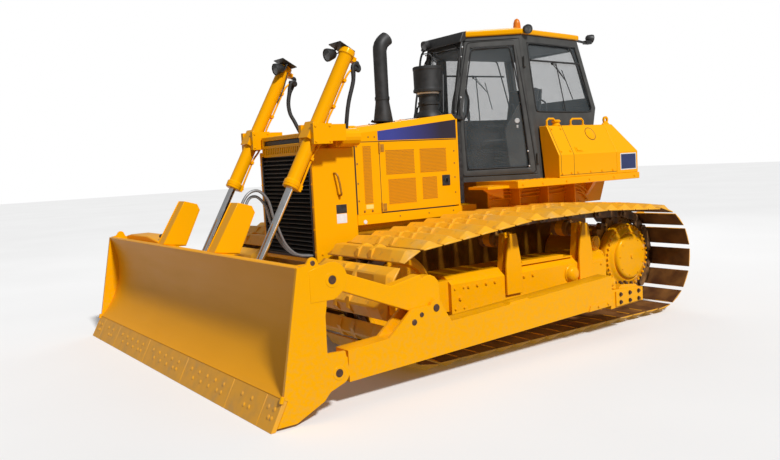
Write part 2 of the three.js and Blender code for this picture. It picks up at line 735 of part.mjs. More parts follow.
const cabFloor = cab.base + cab.floor + seat;
function operatorSeat() {
  const s = seatSize;
  const base = cabFloor + s.pedestal;
  const cushionTop = base + s.cushion;
  const back = [
    [s.rear - 60, cabFloor + s.backTop], [s.rear + 40, cushionTop - 20],
    [s.rear + 170, cushionTop - 20], [s.rear + 60, cabFloor + s.backTop],
  ];
  return join(
    box(s.rear + 120, s.front - 120, -s.pedestalHalf, s.pedestalHalf, cabFloor, base + 1),
    box(s.rear, s.front, -s.halfWidth, s.halfWidth, base, cushionTop),
    slabXZ(back, -s.halfWidth + 15, s.halfWidth - 15),
  );
}
piece('operator_seat', operatorSeat(), black());

const armConsole = box(
  armrest.rear, armrest.front, armrest.inner, armrest.outer, cabFloor, cabFloor + armrest.height,
);
pair('armrest_console', armConsole, black);

function instrumentPanel() {
  const { rear, front, height, halfWidth } = dashboard;
  const outline = [
    [rear + 20, cabFloor], [front, cabFloor], [front, cabFloor + height],
    [rear + 70, cabFloor + height + 80], [rear, cabFloor + height],
  ];
  return slabXZ(outline, -halfWidth, halfWidth);
}
piece('instrument_panel', instrumentPanel(), black());

// ---------------------------------------------------------------- decks and tanks

function fenderDeck() {
  const d = deck;
  const inner = hull.halfWidth + seat;
  const outline = [[d.rear, inner], [d.front, inner], [d.front, d.halfWidth], [d.rear, d.halfWidth]];
  const under = d.top - d.thickness + 10;
  const gusset = [
    [inner, under], [inner, under - d.gusset], [inner + 60, under - d.gusset], [inner + d.gusset, under],
  ];
  const brackets = [d.rear + 330, d.front - 410].map((x) => slabYZ(gusset, x, x + 60));
  return join(slabXY(outline, d.top - d.thickness, d.top - seat), ...brackets);
}
pair('fender_deck', fenderDeck(), yellow);

function sideTankBox() {
  const t = sideTank;
  const section = [
    [tankInner.base, deck.top], [t.outer, deck.top], [t.outer, t.shoulderZ],
    [t.topOuter, t.top], [tankInner.top, t.top],
  ];
  const body = slabYZ(section, rearTank.front + seat, t.front);
  const neck = roundZ(t.front - 190, tankInner.top + 62, 34, t.top - 40, t.top + 62, 14);
  return { body, neck };
}
const tankBox = sideTankBox();
piece('left_side_tank', join(tankBox.body, tankBox.neck), yellow());
piece('right_side_tank', mirrored(tankBox.body), yellow());

function rearFuelTank() {
  const t = rearTank;
  const side = [
    [t.rear, deck.top], [t.front, deck.top], [t.front, t.top], [t.topRear, t.top], [t.rear, t.shoulderZ],
  ];
  const front = [
    [-sideTank.outer, deck.top], [sideTank.outer, deck.top], [sideTank.outer, sideTank.shoulderZ],
    [sideTank.topOuter, t.top], [-sideTank.topOuter, t.top], [-sideTank.outer, sideTank.shoulderZ],
  ];
  const tank = common(slabXZ(side, -sideTank.outer, sideTank.outer), slabYZ(front, t.rear - 1, t.front + 1));
  return cut(tank, cabBody(-t.cabClearance, cab.base - 20));
}
piece('rear_fuel_tank', rearFuelTank(), yellow());

// ---------------------------------------------------------------- blade

function mouldboardFace() {
  const [x0, z0] = blade.seam;
  const [x1, z1] = blade.topFront;
  const half = Math.hypot(x1 - x0, z1 - z0) / 2;
  const radius = (half * half + blade.sag * blade.sag) / (2 * blade.sag);
  const up = [(x1 - x0) / (2 * half), (z1 - z0) / (2 * half)];
  const ahead = [up[1], -up[0]];
  const centre = [
    (x0 + x1) / 2 + ahead[0] * (radius - blade.sag), (z0 + z1) / 2 + ahead[1] * (radius - blade.sag),
  ];
  const angle = (x, z) => (Math.atan2(z - centre[1], x - centre[0]) + 2 * Math.PI) % (2 * Math.PI);
  return { centre, radius, from: angle(x0, z0), to: angle(x1, z1) };
}
const face = mouldboardFace();

// The cutting edge's section: a flat bar bolted on below the mouldboard's lower rim.
const edgeLength = Math.hypot(blade.edgeTip - blade.seam[0], blade.seam[1]);
const edgeAlong = [(blade.edgeTip - blade.seam[0]) / edgeLength, -blade.seam[1] / edgeLength];
const edgeBack = [edgeAlong[1], -edgeAlong[0]];
const edgeSection = [
  [blade.edgeTip, 0],
  blade.seam.map((v, i) => v + edgeAlong[i] * seat),
  blade.seam.map((v, i) => v + edgeAlong[i] * seat + edgeBack[i] * blade.edgeThickness),
  [blade.edgeTip - blade.edgeThickness / -edgeAlong[1], 0],
];
const faceArc = (d, steps) => arcPoints(
  face.centre[0], face.centre[1], face.radius + d, face.from, face.to, steps,
);

function endPlateOutline() {
  const ear = (x, z, r, from, to) => arcPoints(x, z, r, from, to, 5);
  const rad = Math.PI / 180;
  const lip = edgeSection[2];
  const low = edgeSection[3];
  return [
    blade.seam, blade.topFront, [4180, 1040],
    ...ear(brace.pinX, brace.pinZ, 88, 80 * rad, -60 * rad),
    [4082, 752], [4096, 680], [4098, 430], [3960, 425],
    ...ear(armPin.x, armPin.z, 82, 160 * rad, 260 * rad),
    [4090, 172], [4140, 120], [4350, 22], [low[0] - 12, 22], [lip[0] - seat * 2, lip[1]],
  ].reverse();
}

function bladeBody() {
  const b = blade;
  const w = b.halfWidth - b.endPlate;
  const skin = slabXZ([...faceArc(0, 8), ...faceArc(b.plate, 8).reverse()].reverse(), -w - 1, w + 1);
  const backRadius = face.radius + b.plate - 6;
  const back = (z) => face.centre[0] - Math.sqrt(backRadius ** 2 - (z - face.centre[1]) ** 2);
  const beam = (z0, z1, depth, reach) =>
    slabXZ(
      [[back(z0), z0], [back(z1), z1], [back(z1) - depth, z1], [back(z0) - depth, z0]].reverse(), -reach,
      reach,
    );
  const innerEarY = arm.outer - arm.width - 28;
  const ribs = [innerEarY, 1180, lift.y + 75].flatMap((y) => {
    const rib = [
      [back(230) + 2, 230], [back(960), 960], [back(960) - 95, 960], [back(600) - 120, 600],
      [back(230) - 130, 230],
    ].reverse();
    return [slabXZ(rib, y - 22, y), slabXZ(rib, -y, -y + 22)];
  });
  const eyePlates = [-1, 1].flatMap((side) => [-1, 1].map((hand) => {
    const y = side * lift.y + hand * (lift.eyeWidth / 2 + 24);
    const outline = [
      [back(870), 870], [lift.eyeX + 45, lift.eyeZ + 52], [lift.eyeX - 45, lift.eyeZ + 20],
      [lift.eyeX - 60, lift.eyeZ - 75], [back(420), 420],
    ];
    return slabXZ(outline, y - 13, y + 13);
  }));
  const endPlates = [1, -1].map((side) => {
    const y0 = side > 0 ? w : -b.halfWidth;
    return slabXZ(endPlateOutline(), y0, y0 + b.endPlate);
  });
  const innerEars = [1, -1].flatMap((side) => {
    const y0 = side > 0 ? innerEarY - 22 : -innerEarY;
    const low = [
      [back(420), 420], [3960, 425], ...arcPoints(armPin.x, armPin.z, 82, 2.8, 4.5, 6), [back(230), 172],
    ];
    const high = [
      [back(960), 1000], [brace.pinX + 15, brace.pinZ + 87],
      ...arcPoints(brace.pinX, brace.pinZ, 88, 1.9, 4.4, 6), [back(760), 760],
    ];
    return [slabXZ(low, y0, y0 + 22), slabXZ(high, y0, y0 + 22)];
  });
  const armPins = [1, -1].flatMap((side) => {
    const [y0, y1] = side > 0 ? [innerEarY - 15, b.halfWidth - 4] : [-b.halfWidth + 4, -innerEarY + 15];
    return [
      roundY(armPin.x, armPin.z, armPin.radius, y0, y1, pinSides),
      roundY(brace.pinX, brace.pinZ, brace.pinRadius, y0, y1, pinSides),
    ];
  });
  const rodGuard = [[4262, 990], [4240, 1024], [4010, 1400], [3895, 1366], [3872, 1311], [4030, 990]];
  const rodGuards = [-1, 1].map((side) => slabXZ(rodGuard, side * lift.y - 70, side * lift.y + 70));
  const middle = faceArc(b.plate / 2, 8);
  const ahead = slabXZ(
    [[b.edgeTip, b.seam[1] - 60], ...middle, [b.edgeTip, b.topFront[1] + 60]].reverse(), -w - 1, w + 1,
  );
  const behind = cut(join(
    beam(880, 1000, 120, w + 1), beam(215, 400, 130, w + 1),
    ...ribs, ...eyePlates, ...innerEars, ...rodGuards,
  ), ahead);
  const edgeSeat = slabXZ(inset(edgeSection, -seat), -w - 5, w + 5);
  return join(cut(join(skin, behind), edgeSeat), ...endPlates, ...armPins);
}
piece('blade', bladeBody(), yellow());

function cuttingEdge() {
  return slabXZ(edgeSection, -blade.halfWidth, blade.halfWidth);
}
piece('cutting_edge', cuttingEdge(), steel());

function pushArm() {
  const a = arm;
  const inner = a.outer - a.width;
  const slope = (armPin.z - a.rearZ) / (armPin.x - a.rearX);
  const line = (x) => a.rearZ + (x - a.rearX) * slope;
  const rear = a.rearX;
  const beam = [
    [rear, line(rear) - a.rearHalf], [a.boxEnd, line(a.boxEnd) - a.frontHalf],
    [a.boxEnd, line(a.boxEnd) + a.frontHalf], [rear, line(rear) + a.rearHalf],
  ];
  const tongue = [
    [a.boxEnd - 5, armPin.z - 70], [armPin.x, armPin.z - 62],
    ...arcPoints(armPin.x, armPin.z, 62, -1.3, 1.3, 6),
    [armPin.x, armPin.z + 62], [a.boxEnd - 5, armPin.z + 70],
  ];
  const bracket = [
    [3550, line(3550) + a.frontHalf - 4], [3330, brace.rearZ + 20], ...arcPoints(
      brace.rearX, brace.rearZ, 62, 0.4, 3.1, 6,
    ),
    [brace.rearX - 150, line(brace.rearX - 150) + a.frontHalf - 4],
  ].reverse();
  const c = armCap;
  const cap = slabXZ(
    [[c.rear, c.bottom + 20], [rear + 20, c.bottom], [rear + 20, c.top], [c.rear, c.rearTop]], inner, a.outer,
  );
  const bore = turningBore(
    armPivot.x, armPivot.z, armPivot.radius, inner - 20, a.outer - armPivot.capWall, armPivot.sides,
  );
  const pinBore = roundY(armPin.x, armPin.z, armPin.radius + seat, inner - 5, a.outer + 5, pinSides);
  const bracketPlates = [slabXZ(bracket, a.outer - 28, a.outer), slabXZ(bracket, inner, inner + 28)];
  const pin = roundY(brace.rearX, brace.rearZ, brace.pinRadius, inner + 5, a.outer - 5, pinSides);
  return cut(
    join(
      slabXZ(beam, inner, a.outer), slabXZ(tongue, inner + 10, a.outer - 10), cap, ...bracketPlates, pin,
    ),
    bore, pinBore,
  );
}
pair('push_arm', pushArm(), yellow);

function braceBores(y) {
  const half = brace.width / 2 + 10;
  return [[brace.pinX, brace.pinZ], [brace.rearX, brace.rearZ]].map(([x, z]) =>
    roundY(x, z, brace.pinRadius + seat, y - half, y + half, pinSides));
}

function braceBetween() {
  const y = arm.outer - arm.width / 2;
  const outline = [
    ...arcPoints(brace.pinX, brace.pinZ, 70, -2.2, 1.4, 8),
    [3890, 935], [3480, 782], [3215, 832], ...arcPoints(3140, 720, 100, 0.9, 3.1, 5),
    ...arcPoints(brace.rearX, brace.rearZ, 58, 3.0, 4.9, 5), [3340, 585], [3910, 812],
  ];
  return cut(slabXZ(outline, y - brace.width / 2, y + brace.width / 2), ...braceBores(y));
}
piece('left_brace', braceBetween(), yellow());

function tiltCylinder() {
  const y = -(arm.outer - arm.width / 2);
  const dx = brace.pinX - brace.rearX;
  const dz = brace.pinZ - brace.rearZ;
  const length = Math.hypot(dx, dz);
  const along = (from, to, radius, sides = 16) => {
    const shape = new THREE.CylinderGeometry(radius, radius, to - from, sides).rotateZ(-Math.PI / 2);
    const turned = shape.translate((from + to) / 2, 0, 0).rotateY(-Math.atan2(dz, dx));
    return turned.translate(brace.rearX, y, brace.rearZ);
  };
  const half = brace.width / 2;
  const eyes = [
    [brace.pinX, brace.pinZ], [brace.rearX, brace.rearZ],
  ].map(([x, z]) => roundY(x, z, 62, y - half, y + half, 16));
  const tube = along(300, length - 300, 74);
  const rods = [along(45, 305, 42, 12), along(length - 305, length - 50, 36, 12)];
  return cut(join(tube, ...rods, ...eyes), ...braceBores(y));
}
piece('right_tilt_cylinder', tiltCylinder(), yellow());

// ---------------------------------------------------------------- lift cylinders

const liftLength = Math.hypot(lift.eyeX - lift.trunnionX, lift.eyeZ - lift.trunnionZ);
const liftAngle = Math.atan2(lift.trunnionZ - lift.eyeZ, lift.eyeX - lift.trunnionX);

const hoseEnds = [-lift.barrelUp + 30, -330]; // along the barrel, counted from the trunnion

// Builds along +X from the trunnion, then tips it down towards the blade.
function onLiftLine(geometry, side) {
  return geometry.rotateY(liftAngle).translate(lift.trunnionX, side * lift.y, lift.trunnionZ);
}

function liftBarrel(side) {
  const l = lift;
  const collar = l.barrelRadius + l.collar;
  const reach = collar + running + l.cheek;
  const tube = roundX(0, 0, l.barrelRadius, -l.barrelUp, l.barrelDown, 14);
  const rings = [
    [-l.barrelUp, -l.barrelUp + 60], [-70, 70], [l.barrelDown - 70, l.barrelDown],
  ].map(([a, b]) =>
    roundX(0, 0, collar, a, b, 14));
  const bore = roundX(0, 0, l.rodRadius + l.slip, -l.barrelUp + 75, l.barrelDown + 10, pinSides);
  const trunnions = roundY(0, 0, l.trunnionRadius, -reach, reach, pinSides);
  const ports = hoseEnds.map((x) => roundZ(x, 0, 24, -collar - 20, 0, 8));
  return onLiftLine(cut(join(tube, ...rings, trunnions, ...ports), bore), side);
}

function liftRod(side) {
  const l = lift;
  const rod = roundX(0, 0, l.rodRadius, l.rodInner, liftLength - 30, pinSides);
  const eye = roundY(liftLength, 0, l.eyeRadius, -l.eyeWidth / 2, l.eyeWidth / 2, 16);
  return onLiftLine(join(rod, eye), side);
}

// Pressure hose from the cap end's port to the port above the trunnion, bowed out behind the barrel.
function liftHose(side) {
  const drop = -(lift.barrelRadius + lift.collar + 20 + seat);
  const [top, low] = hoseEnds;
  const points = [
    [top, drop + 15], [top + 5, drop - 40], [(top + low) / 2, drop - hose.bulge], [low - 5, drop - 40],
    [low, drop + 15],
  ];
  const bends = points.map(([x, z]) => new THREE.Vector3(x, 0, z));
  const route = new THREE.CatmullRomCurve3(bends, false, 'centripetal');
  const round = new THREE.Shape().absarc(0, 0, hose.radius, 0, 2 * Math.PI);
  const tube = new THREE.ExtrudeGeometry(round, { steps: 12, curveSegments: 3, extrudePath: route });
  return onLiftLine(cut(tube, box(top - 60, low + 60, -40, 40, drop, drop + 60)), side);
}

function workLamp(side) {
  const base = lift.barrelRadius + lift.collar + seat;
  const x = -lift.barrelUp + 10;
  const bracket = box(x, x + 40, -30, 30, base, base + 45);
  const shell = box(
    x - 20, x - 20 + lamp.length, -lamp.width / 2, lamp.width / 2, base + 40, base + 40 + lamp.height,
  );
  return onLiftLine(join(bracket, shell), side);
}

// Fork round the trunnion pins, its stem held in the bearing block in the guard's notched corner.
function cylinderSupport() {
  const l = lift;
  const inner = l.barrelRadius + l.collar + running;
  const outer = inner + l.cheek;
  const [rear, front] = [l.trunnionX - liftSupport.throat, l.trunnionX + 62];
  const [low, high] = [l.trunnionZ - 72, l.trunnionZ + 72];
  const cheeks = [box(rear, front, inner, outer, low, high), box(rear, front, -outer, -inner, low, high)];
  const bridge = box(rear - 60, rear + 10, -outer, outer, low, high);
  const stem = roundX(0, l.trunnionZ - liftSupport.drop, liftSupport.radius, liftSupport.rear, rear - 50);
  const toGuard = l.y - guard.notchHalfWidth - seat;
  const block = box(
    liftSupport.rear + 30, liftSupport.blockFront, -toGuard, 0, guard.notchBottom + seat,
    l.trunnionZ - liftSupport.drop,
  );
  const eyes = turningBore(l.trunnionX, l.trunnionZ, l.trunnionRadius, -outer - 5, outer + 5, pinSides);
  return cut(join(...cheeks, bridge, stem, block), eyes).translate(0, l.y, 0);
}
pair('cylinder_support', cylinderSupport(), yellow);
for (const [name, side] of [['left', 1], ['right', -1]]) {
  piece(`${name}_lift_barrel`, liftBarrel(side), yellow());
  piece(`${name}_lift_rod`, liftRod(side), chrome());
  piece(`${name}_lift_hose`, liftHose(side), rubber());
  piece(`${name}_work_lamp`, workLamp(side), black());
}

// ---------------------------------------------------------------- origin under the middle of the machine

const extent = new THREE.Box3().setFromObject(machine);
machine.position.x = -(extent.min.x + extent.max.x) / 2;

export default machine;
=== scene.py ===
# Crawler bulldozer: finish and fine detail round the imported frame.
# Metres, +X forward, +Y to the machine's left, +Z up. "axleX" is where the drive axle lies.
import math
import random

import bmesh
import bpy
from mathutils import Matrix, Vector


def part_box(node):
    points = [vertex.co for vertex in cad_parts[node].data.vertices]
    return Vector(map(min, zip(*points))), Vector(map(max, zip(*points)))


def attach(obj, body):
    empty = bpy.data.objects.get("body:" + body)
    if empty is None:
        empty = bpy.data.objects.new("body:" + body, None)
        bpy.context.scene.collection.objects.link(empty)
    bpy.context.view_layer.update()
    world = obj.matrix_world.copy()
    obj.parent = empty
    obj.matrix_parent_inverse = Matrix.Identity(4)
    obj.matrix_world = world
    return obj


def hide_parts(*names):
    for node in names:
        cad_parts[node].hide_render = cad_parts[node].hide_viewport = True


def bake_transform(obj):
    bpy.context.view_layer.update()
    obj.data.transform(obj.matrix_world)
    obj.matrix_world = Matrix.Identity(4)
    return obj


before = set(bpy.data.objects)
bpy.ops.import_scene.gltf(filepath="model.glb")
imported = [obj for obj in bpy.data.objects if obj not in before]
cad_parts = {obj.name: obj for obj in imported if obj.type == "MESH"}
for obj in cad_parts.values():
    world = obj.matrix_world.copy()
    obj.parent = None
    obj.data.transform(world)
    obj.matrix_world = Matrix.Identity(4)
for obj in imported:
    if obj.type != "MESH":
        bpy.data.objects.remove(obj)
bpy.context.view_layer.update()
random.seed(7)

sides = (("left", 1), ("right", -1))
up = Vector((0, 0, 1))


def middle(node):
    low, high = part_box(node)
    return (low + high) / 2


trackSize = {
    "wheelbase": 2.9,
    "gauge": 2.31,
    "shoeWidth": 1.11,
    "shoes": 42,
    "sprocketRadius": 0.44,
    "idlerRadius": 0.40,
    "linkHalf": 0.05,
    "plate": 0.012,
    "grouser": 0.07,
    "carrierX": (1.75, 0.78),
    "carrierRise": (1.04, 1.05),
    "carrierRadius": 0.08,
    "railSpacing": 0.16,
}
axleX = middle("left_idler").x - trackSize["wheelbase"]


def place(x, y, z):
    # x counted forward from the drive axle
    return Vector((x + axleX, y, z))


# shaping helpers


def boxInto(bm, low, high):
    size = Vector(high) - Vector(low)
    centre = (Vector(high) + Vector(low)) / 2
    spread = Matrix.Diagonal((size.x, size.y, size.z, 1))
    return bmesh.ops.create_cube(bm, size=1, matrix=Matrix.Translation(centre) @ spread)["verts"]


def turnTo(direction):
    return Vector(direction).to_track_quat("Z", "Y").to_matrix().to_4x4()


def roundInto(bm, start, end, radius, segments=24, endRadius=None):
    start, end = Vector(start), Vector(end)
    return bmesh.ops.create_cone(
        bm,
        cap_ends=True,
        segments=segments,
        radius1=radius,
        radius2=radius if endRadius is None else endRadius,
        depth=(end - start).length,
        matrix=Matrix.Translation((start + end) / 2) @ turnTo(end - start),
    )["verts"]


def boltInto(bm, point, direction, radius=0.013, height=0.012):
    # hexagon head on a washer
    direction = Vector(direction).normalized()
    roundInto(bm, point, point + direction * height * 0.25, radius * 1.35, 16)
    roundInto(bm, point + direction * height * 0.2, point + direction * height, radius, 6)


def ringOfBolts(bm, centre, direction, ringRadius, count, radius=0.013, height=0.012, start=0.0):
    turn = turnTo(direction)
    for k in range(count):
        angle = start + 2 * math.pi * k / count
        offset = turn @ Vector((math.cos(angle) * ringRadius, math.sin(angle) * ringRadius, 0))
        boltInto(bm, Vector(centre) + offset, direction, radius, height)


def plateInto(bm, outline, depth):
    corners = [bm.verts.new(Vector(point)) for point in outline]
    face = bm.faces.new(corners)
    grown = bmesh.ops.extrude_face_region(bm, geom=[face])["geom"]
    moved = [part for part in grown if isinstance(part, bmesh.types.BMVert)]
    bmesh.ops.translate(bm, vec=Vector(depth), verts=moved)
    return corners + moved


def sidePlateInto(bm, outline, y0, y1):
    # outline of (x from the axle, z), carried across from y0 to y1
    return plateInto(bm, [place(x, y0, z) for x, z in outline], (0, y1 - y0, 0))


def flankInto(bm, hand, outline, inner, outer):
    # the same side plate, given by its distances from the middle on either hand
    y0, y1 = sorted((hand * inner, hand * outer))
    return sidePlateInto(bm, outline, y0, y1)


def spunInto(bm, profile, origin, direction, steps=32):
    # profile of (distance along the axis, radius), spun all the way round
    turn = Matrix.Translation(Vector(origin)) @ turnTo(direction)
    chain = [bm.verts.new(turn @ Vector((radius, 0, along))) for along, radius in profile]
    edges = [bm.edges.new(pair) for pair in zip(chain, chain[1:])]
    return bmesh.ops.spin(
        bm,
        geom=chain + edges,
        cent=Vector(origin),
        axis=Vector(direction).normalized(),
        angle=2 * math.pi,
        steps=steps,
        use_merge=True,
    )


def arc(cx, cz, radius, start, end, steps):
    turns = [math.radians(start + (end - start) * k / steps) for k in range(steps + 1)]
    return [(cx + radius * math.cos(turn), cz + radius * math.sin(turn)) for turn in turns]


meshing = {"merge": 1e-6, "sharp": 32, "rounded": 35}


def finishPiece(name, bm, body, material, bevel=0.0, segments=2, stands=()):
    bmesh.ops.remove_doubles(bm, verts=bm.verts, dist=meshing["merge"])
    bmesh.ops.recalc_face_normals(bm, faces=bm.faces)
    mesh = bpy.data.meshes.new(name)
    bm.to_mesh(mesh)
    bm.free()
    mesh.shade_smooth()
    mesh.set_sharp_from_angle(angle=math.radians(meshing["sharp"]))
    piece = bpy.data.objects.new(name, mesh)
    bpy.context.scene.collection.objects.link(piece)
    mesh.materials.append(material)
    if bevel:
        rounding = piece.modifiers.new("edges", "BEVEL")
        rounding.width = bevel
        rounding.segments = segments
        rounding.limit_method = "ANGLE"
        rounding.angle_limit = math.radians(meshing["rounded"])
        rounding.miter_outer = "MITER_ARC"
    if body:
        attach(piece, body)  # a piece blended between bodies rides on none
    if stands:
        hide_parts(*stands)
    return piece


def tube(name, points, radius, body, material, cyclic=False):
    curve = bpy.data.curves.new(name, "CURVE")
    curve.dimensions = "3D"
    curve.bevel_depth = radius
    curve.bevel_resolution = 4
    curve.resolution_u = 8
    curve.use_fill_caps = True
    spline = curve.splines.new("BEZIER")
    spline.bezier_points.add(len(points) - 1)
    for knot, point in zip(spline.bezier_points, points):
        knot.co = point
        knot.handle_left_type = knot.handle_right_type = "AUTO"
    spline.use_cyclic_u = cyclic
    made = bpy.data.objects.new(name + "_path", curve)
    bpy.context.scene.collection.objects.link(made)
    bpy.context.view_layer.update()
    mesh = bpy.data.meshes.new_from_object(made.evaluated_get(bpy.context.evaluated_depsgraph_get()))
    bpy.data.objects.remove(made)
    bm = bmesh.new()
    bm.from_mesh(mesh)
    bpy.data.meshes.remove(mesh)
    return finishPiece(name, bm, body, material)


# materials


def newMaterial(name, slot):
    material = bpy.data.materials.new(name)
    material.use_nodes = True
    material["slot"] = slot
    tree = material.node_tree
    where = tree.nodes.new("ShaderNodeTexCoord")
    return material, tree, tree.nodes["Principled BSDF"], where.outputs["Object"]


def noiseAt(tree, where, scale, detail=4.0, stretch=(1, 1, 1)):
    mapping = tree.nodes.new("ShaderNodeMapping")
    mapping.inputs["Scale"].default_value = stretch
    tree.links.new(where, mapping.inputs["Vector"])
    noise = tree.nodes.new("ShaderNodeTexNoise")
    noise.inputs["Scale"].default_value = scale
    noise.inputs["Detail"].default_value = detail
    tree.links.new(mapping.outputs["Vector"], noise.inputs["Vector"])
    return noise.outputs["Fac"]


def ramp(tree, source, stops):
    made = tree.nodes.new("ShaderNodeValToRGB")
    marks = made.color_ramp.elements
    marks[0].position, marks[0].color = stops[0][0], (*stops[0][1], 1)
    marks[1].position, marks[1].color = stops[-1][0], (*stops[-1][1], 1)
    for position, colour in stops[1:-1]:
        mark = marks.new(position)
        mark.color = (*colour, 1)
    tree.links.new(source, made.inputs["Fac"])
    return made.outputs["Color"]


def mixColours(tree, factor, first, second):
    made = tree.nodes.new("ShaderNodeMix")
    made.data_type = "RGBA"
    tree.links.new(factor, made.inputs["Factor"])
    for socket, value in (("A", first), ("B", second)):
        target = [s for s in made.inputs if s.name == socket and s.type == "RGBA"][0]
        if isinstance(value, tuple):
            target.default_value = (*value, 1)
        else:
            tree.links.new(value, target)
    return [s for s in made.outputs if s.type == "RGBA"][0]


def bumpFrom(tree, shader, source, strength, distance=0.001):
    bump = tree.nodes.new("ShaderNodeBump")
    bump.inputs["Strength"].default_value = strength
    bump.inputs["Distance"].default_value = distance
    tree.links.new(source, bump.inputs["Height"])
    tree.links.new(bump.outputs["Normal"], shader.inputs["Normal"])


def roughnessFrom(tree, shader, source, low, high):
    spread = tree.nodes.new("ShaderNodeMapRange")
    spread.inputs["To Min"].default_value = low
    spread.inputs["To Max"].default_value = high
    tree.links.new(source, spread.inputs["Value"])
    tree.links.new(spread.outputs["Result"], shader.inputs["Roughness"])


def grey(level):
    return (level, level, level)


enamelLook = {
    "fresh": (0.88, 0.385, 0.0),
    "shade": (0.84, 0.355, 0.0),
    "dust": (0.52, 0.30, 0.10),
    "dustTop": 0.9,
    "orangePeel": 0.05,
    "dustLow": 0.05,
    "dustLeast": 0.02,
    "glint": (1.0, 0.58, 0.08, 1),
    "coat": 0.05,
    "coatRoughness": 0.12,
}


def enamel(name, slot="yellow_paint", look=enamelLook, dustShare=0.35, roughness=(0.26, 0.42)):
    material, tree, shader, where = newMaterial(name, slot)
    broad = noiseAt(tree, where, 1.6)
    fine = noiseAt(tree, where, 34.0, 8.0)
    base = mixColours(tree, broad, look["fresh"], look["shade"])
    # dust thins out with height
    split = tree.nodes.new("ShaderNodeSeparateXYZ")
    tree.links.new(where, split.inputs["Vector"])
    height = tree.nodes.new("ShaderNodeMapRange")
    height.inputs["From Min"].default_value = look["dustLow"]
    height.inputs["From Max"].default_value = look["dustTop"]
    height.inputs["To Min"].default_value = dustShare
    height.inputs["To Max"].default_value = look["dustLeast"]
    tree.links.new(split.outputs["Z"], height.inputs["Value"])
    patch = ramp(tree, fine, [(0.42, grey(0.0)), (0.75, grey(1.0))])
    amount = tree.nodes.new("ShaderNodeMath")
    amount.operation = "MULTIPLY"
    tree.links.new(height.outputs["Result"], amount.inputs[0])
    tree.links.new(patch, amount.inputs[1])
    colour = mixColours(tree, amount.outputs["Value"], base, look["dust"])
    tree.links.new(colour, shader.inputs["Base Color"])
    roughnessFrom(tree, shader, fine, *roughness)
    shader.inputs["Specular IOR Level"].default_value = 0.3
    shader.inputs["Specular Tint"].default_value = look["glint"]
    shader.inputs["Coat Weight"].default_value = look["coat"]
    shader.inputs["Coat Roughness"].default_value = look["coatRoughness"]
    bumpFrom(tree, shader, noiseAt(tree, where, 420.0, 2.0), look["orangePeel"])
    return material


def speckled(
    name, slot, dark, light, scale=18.0, roughness=(0.4, 0.6), metallic=0.0, grain=300.0, bump=0.08,
):
    material, tree, shader, where = newMaterial(name, slot)
    noise = noiseAt(tree, where, scale, 6.0)
    tree.links.new(ramp(tree, noise, [(0.35, dark), (0.68, light)]), shader.inputs["Base Color"])
    roughnessFrom(tree, shader, noise, *roughness)
    shader.inputs["Metallic"].default_value = metallic
    bumpFrom(tree, shader, noiseAt(tree, where, grain, 3.0), bump)
    return material


def shoePaint():
    # yellow paint rubbed to tan, with brown stains in patches along each shoe
    material, tree, shader, where = newMaterial("shoe_paint", "worn_shoe_steel")
    patches = noiseAt(tree, where, 5.0, 7.0, (1.0, 0.55, 1.0))
    stains = noiseAt(tree, where, 17.0, 8.0)
    base = ramp(
        tree, patches,
        [(0.42, (0.84, 0.38, 0.004)), (0.60, (0.76, 0.37, 0.02)), (0.76, (0.62, 0.36, 0.10))],
    )
    mark = ramp(tree, stains, [(0.58, grey(0.0)), (0.74, grey(0.45))])
    tree.links.new(mixColours(tree, mark, base, (0.30, 0.17, 0.06)), shader.inputs["Base Color"])
    roughnessFrom(tree, shader, stains, 0.38, 0.65)
    bumpFrom(tree, shader, noiseAt(tree, where, 120.0, 6.0), 0.18)
    return material


def hullShadePaint(shadeEndsAt=(1.00, 1.06)):
    # painted shade: dark brown on the hull between the tracks, where their shadow falls, plain enamel above
    # them
    material, tree, shader, where = newMaterial("hull_painted_shade", "yellow_paint")
    patches = noiseAt(tree, where, 5.0, 6.0)
    shadeColour = ramp(tree, patches, [(0.35, (0.13, 0.04, 0.004)), (0.68, (0.36, 0.15, 0.01))])
    split = tree.nodes.new("ShaderNodeSeparateXYZ")
    tree.links.new(where, split.inputs["Vector"])
    height = tree.nodes.new("ShaderNodeMapRange")
    height.inputs["From Min"].default_value, height.inputs["From Max"].default_value = shadeEndsAt
    tree.links.new(split.outputs["Z"], height.inputs["Value"])
    tree.links.new(
        mixColours(tree, height.outputs["Result"], shadeColour, enamelLook["fresh"]),
        shader.inputs["Base Color"],
    )
    roughnessFrom(tree, shader, patches, 0.38, 0.55)
    shader.inputs["Specular Tint"].default_value = enamelLook["glint"]
    return material


def bladeFacePaint():
    # enamel with faint upright polish marks where earth rolls up the face
    material, tree, shader, where = newMaterial("blade_face_paint", "yellow_paint")
    broad = noiseAt(tree, where, 1.2)
    marks = noiseAt(tree, where, 6.0, 4.0, (1.6, 0.25, 2.0))
    base = mixColours(tree, broad, (0.88, 0.38, 0.010), (0.80, 0.33, 0.008))
    rubbed = ramp(tree, marks, [(0.5, grey(0.0)), (0.8, grey(0.10))])
    tree.links.new(mixColours(tree, rubbed, base, (0.50, 0.27, 0.07)), shader.inputs["Base Color"])
    roughnessFrom(tree, shader, marks, 0.34, 0.5)
    shader.inputs["Specular IOR Level"].default_value = 0.2
    shader.inputs["Specular Tint"].default_value = (1.0, 0.5, 0.05, 1)
    bumpFrom(tree, shader, marks, 0.04, 0.002)
    return material


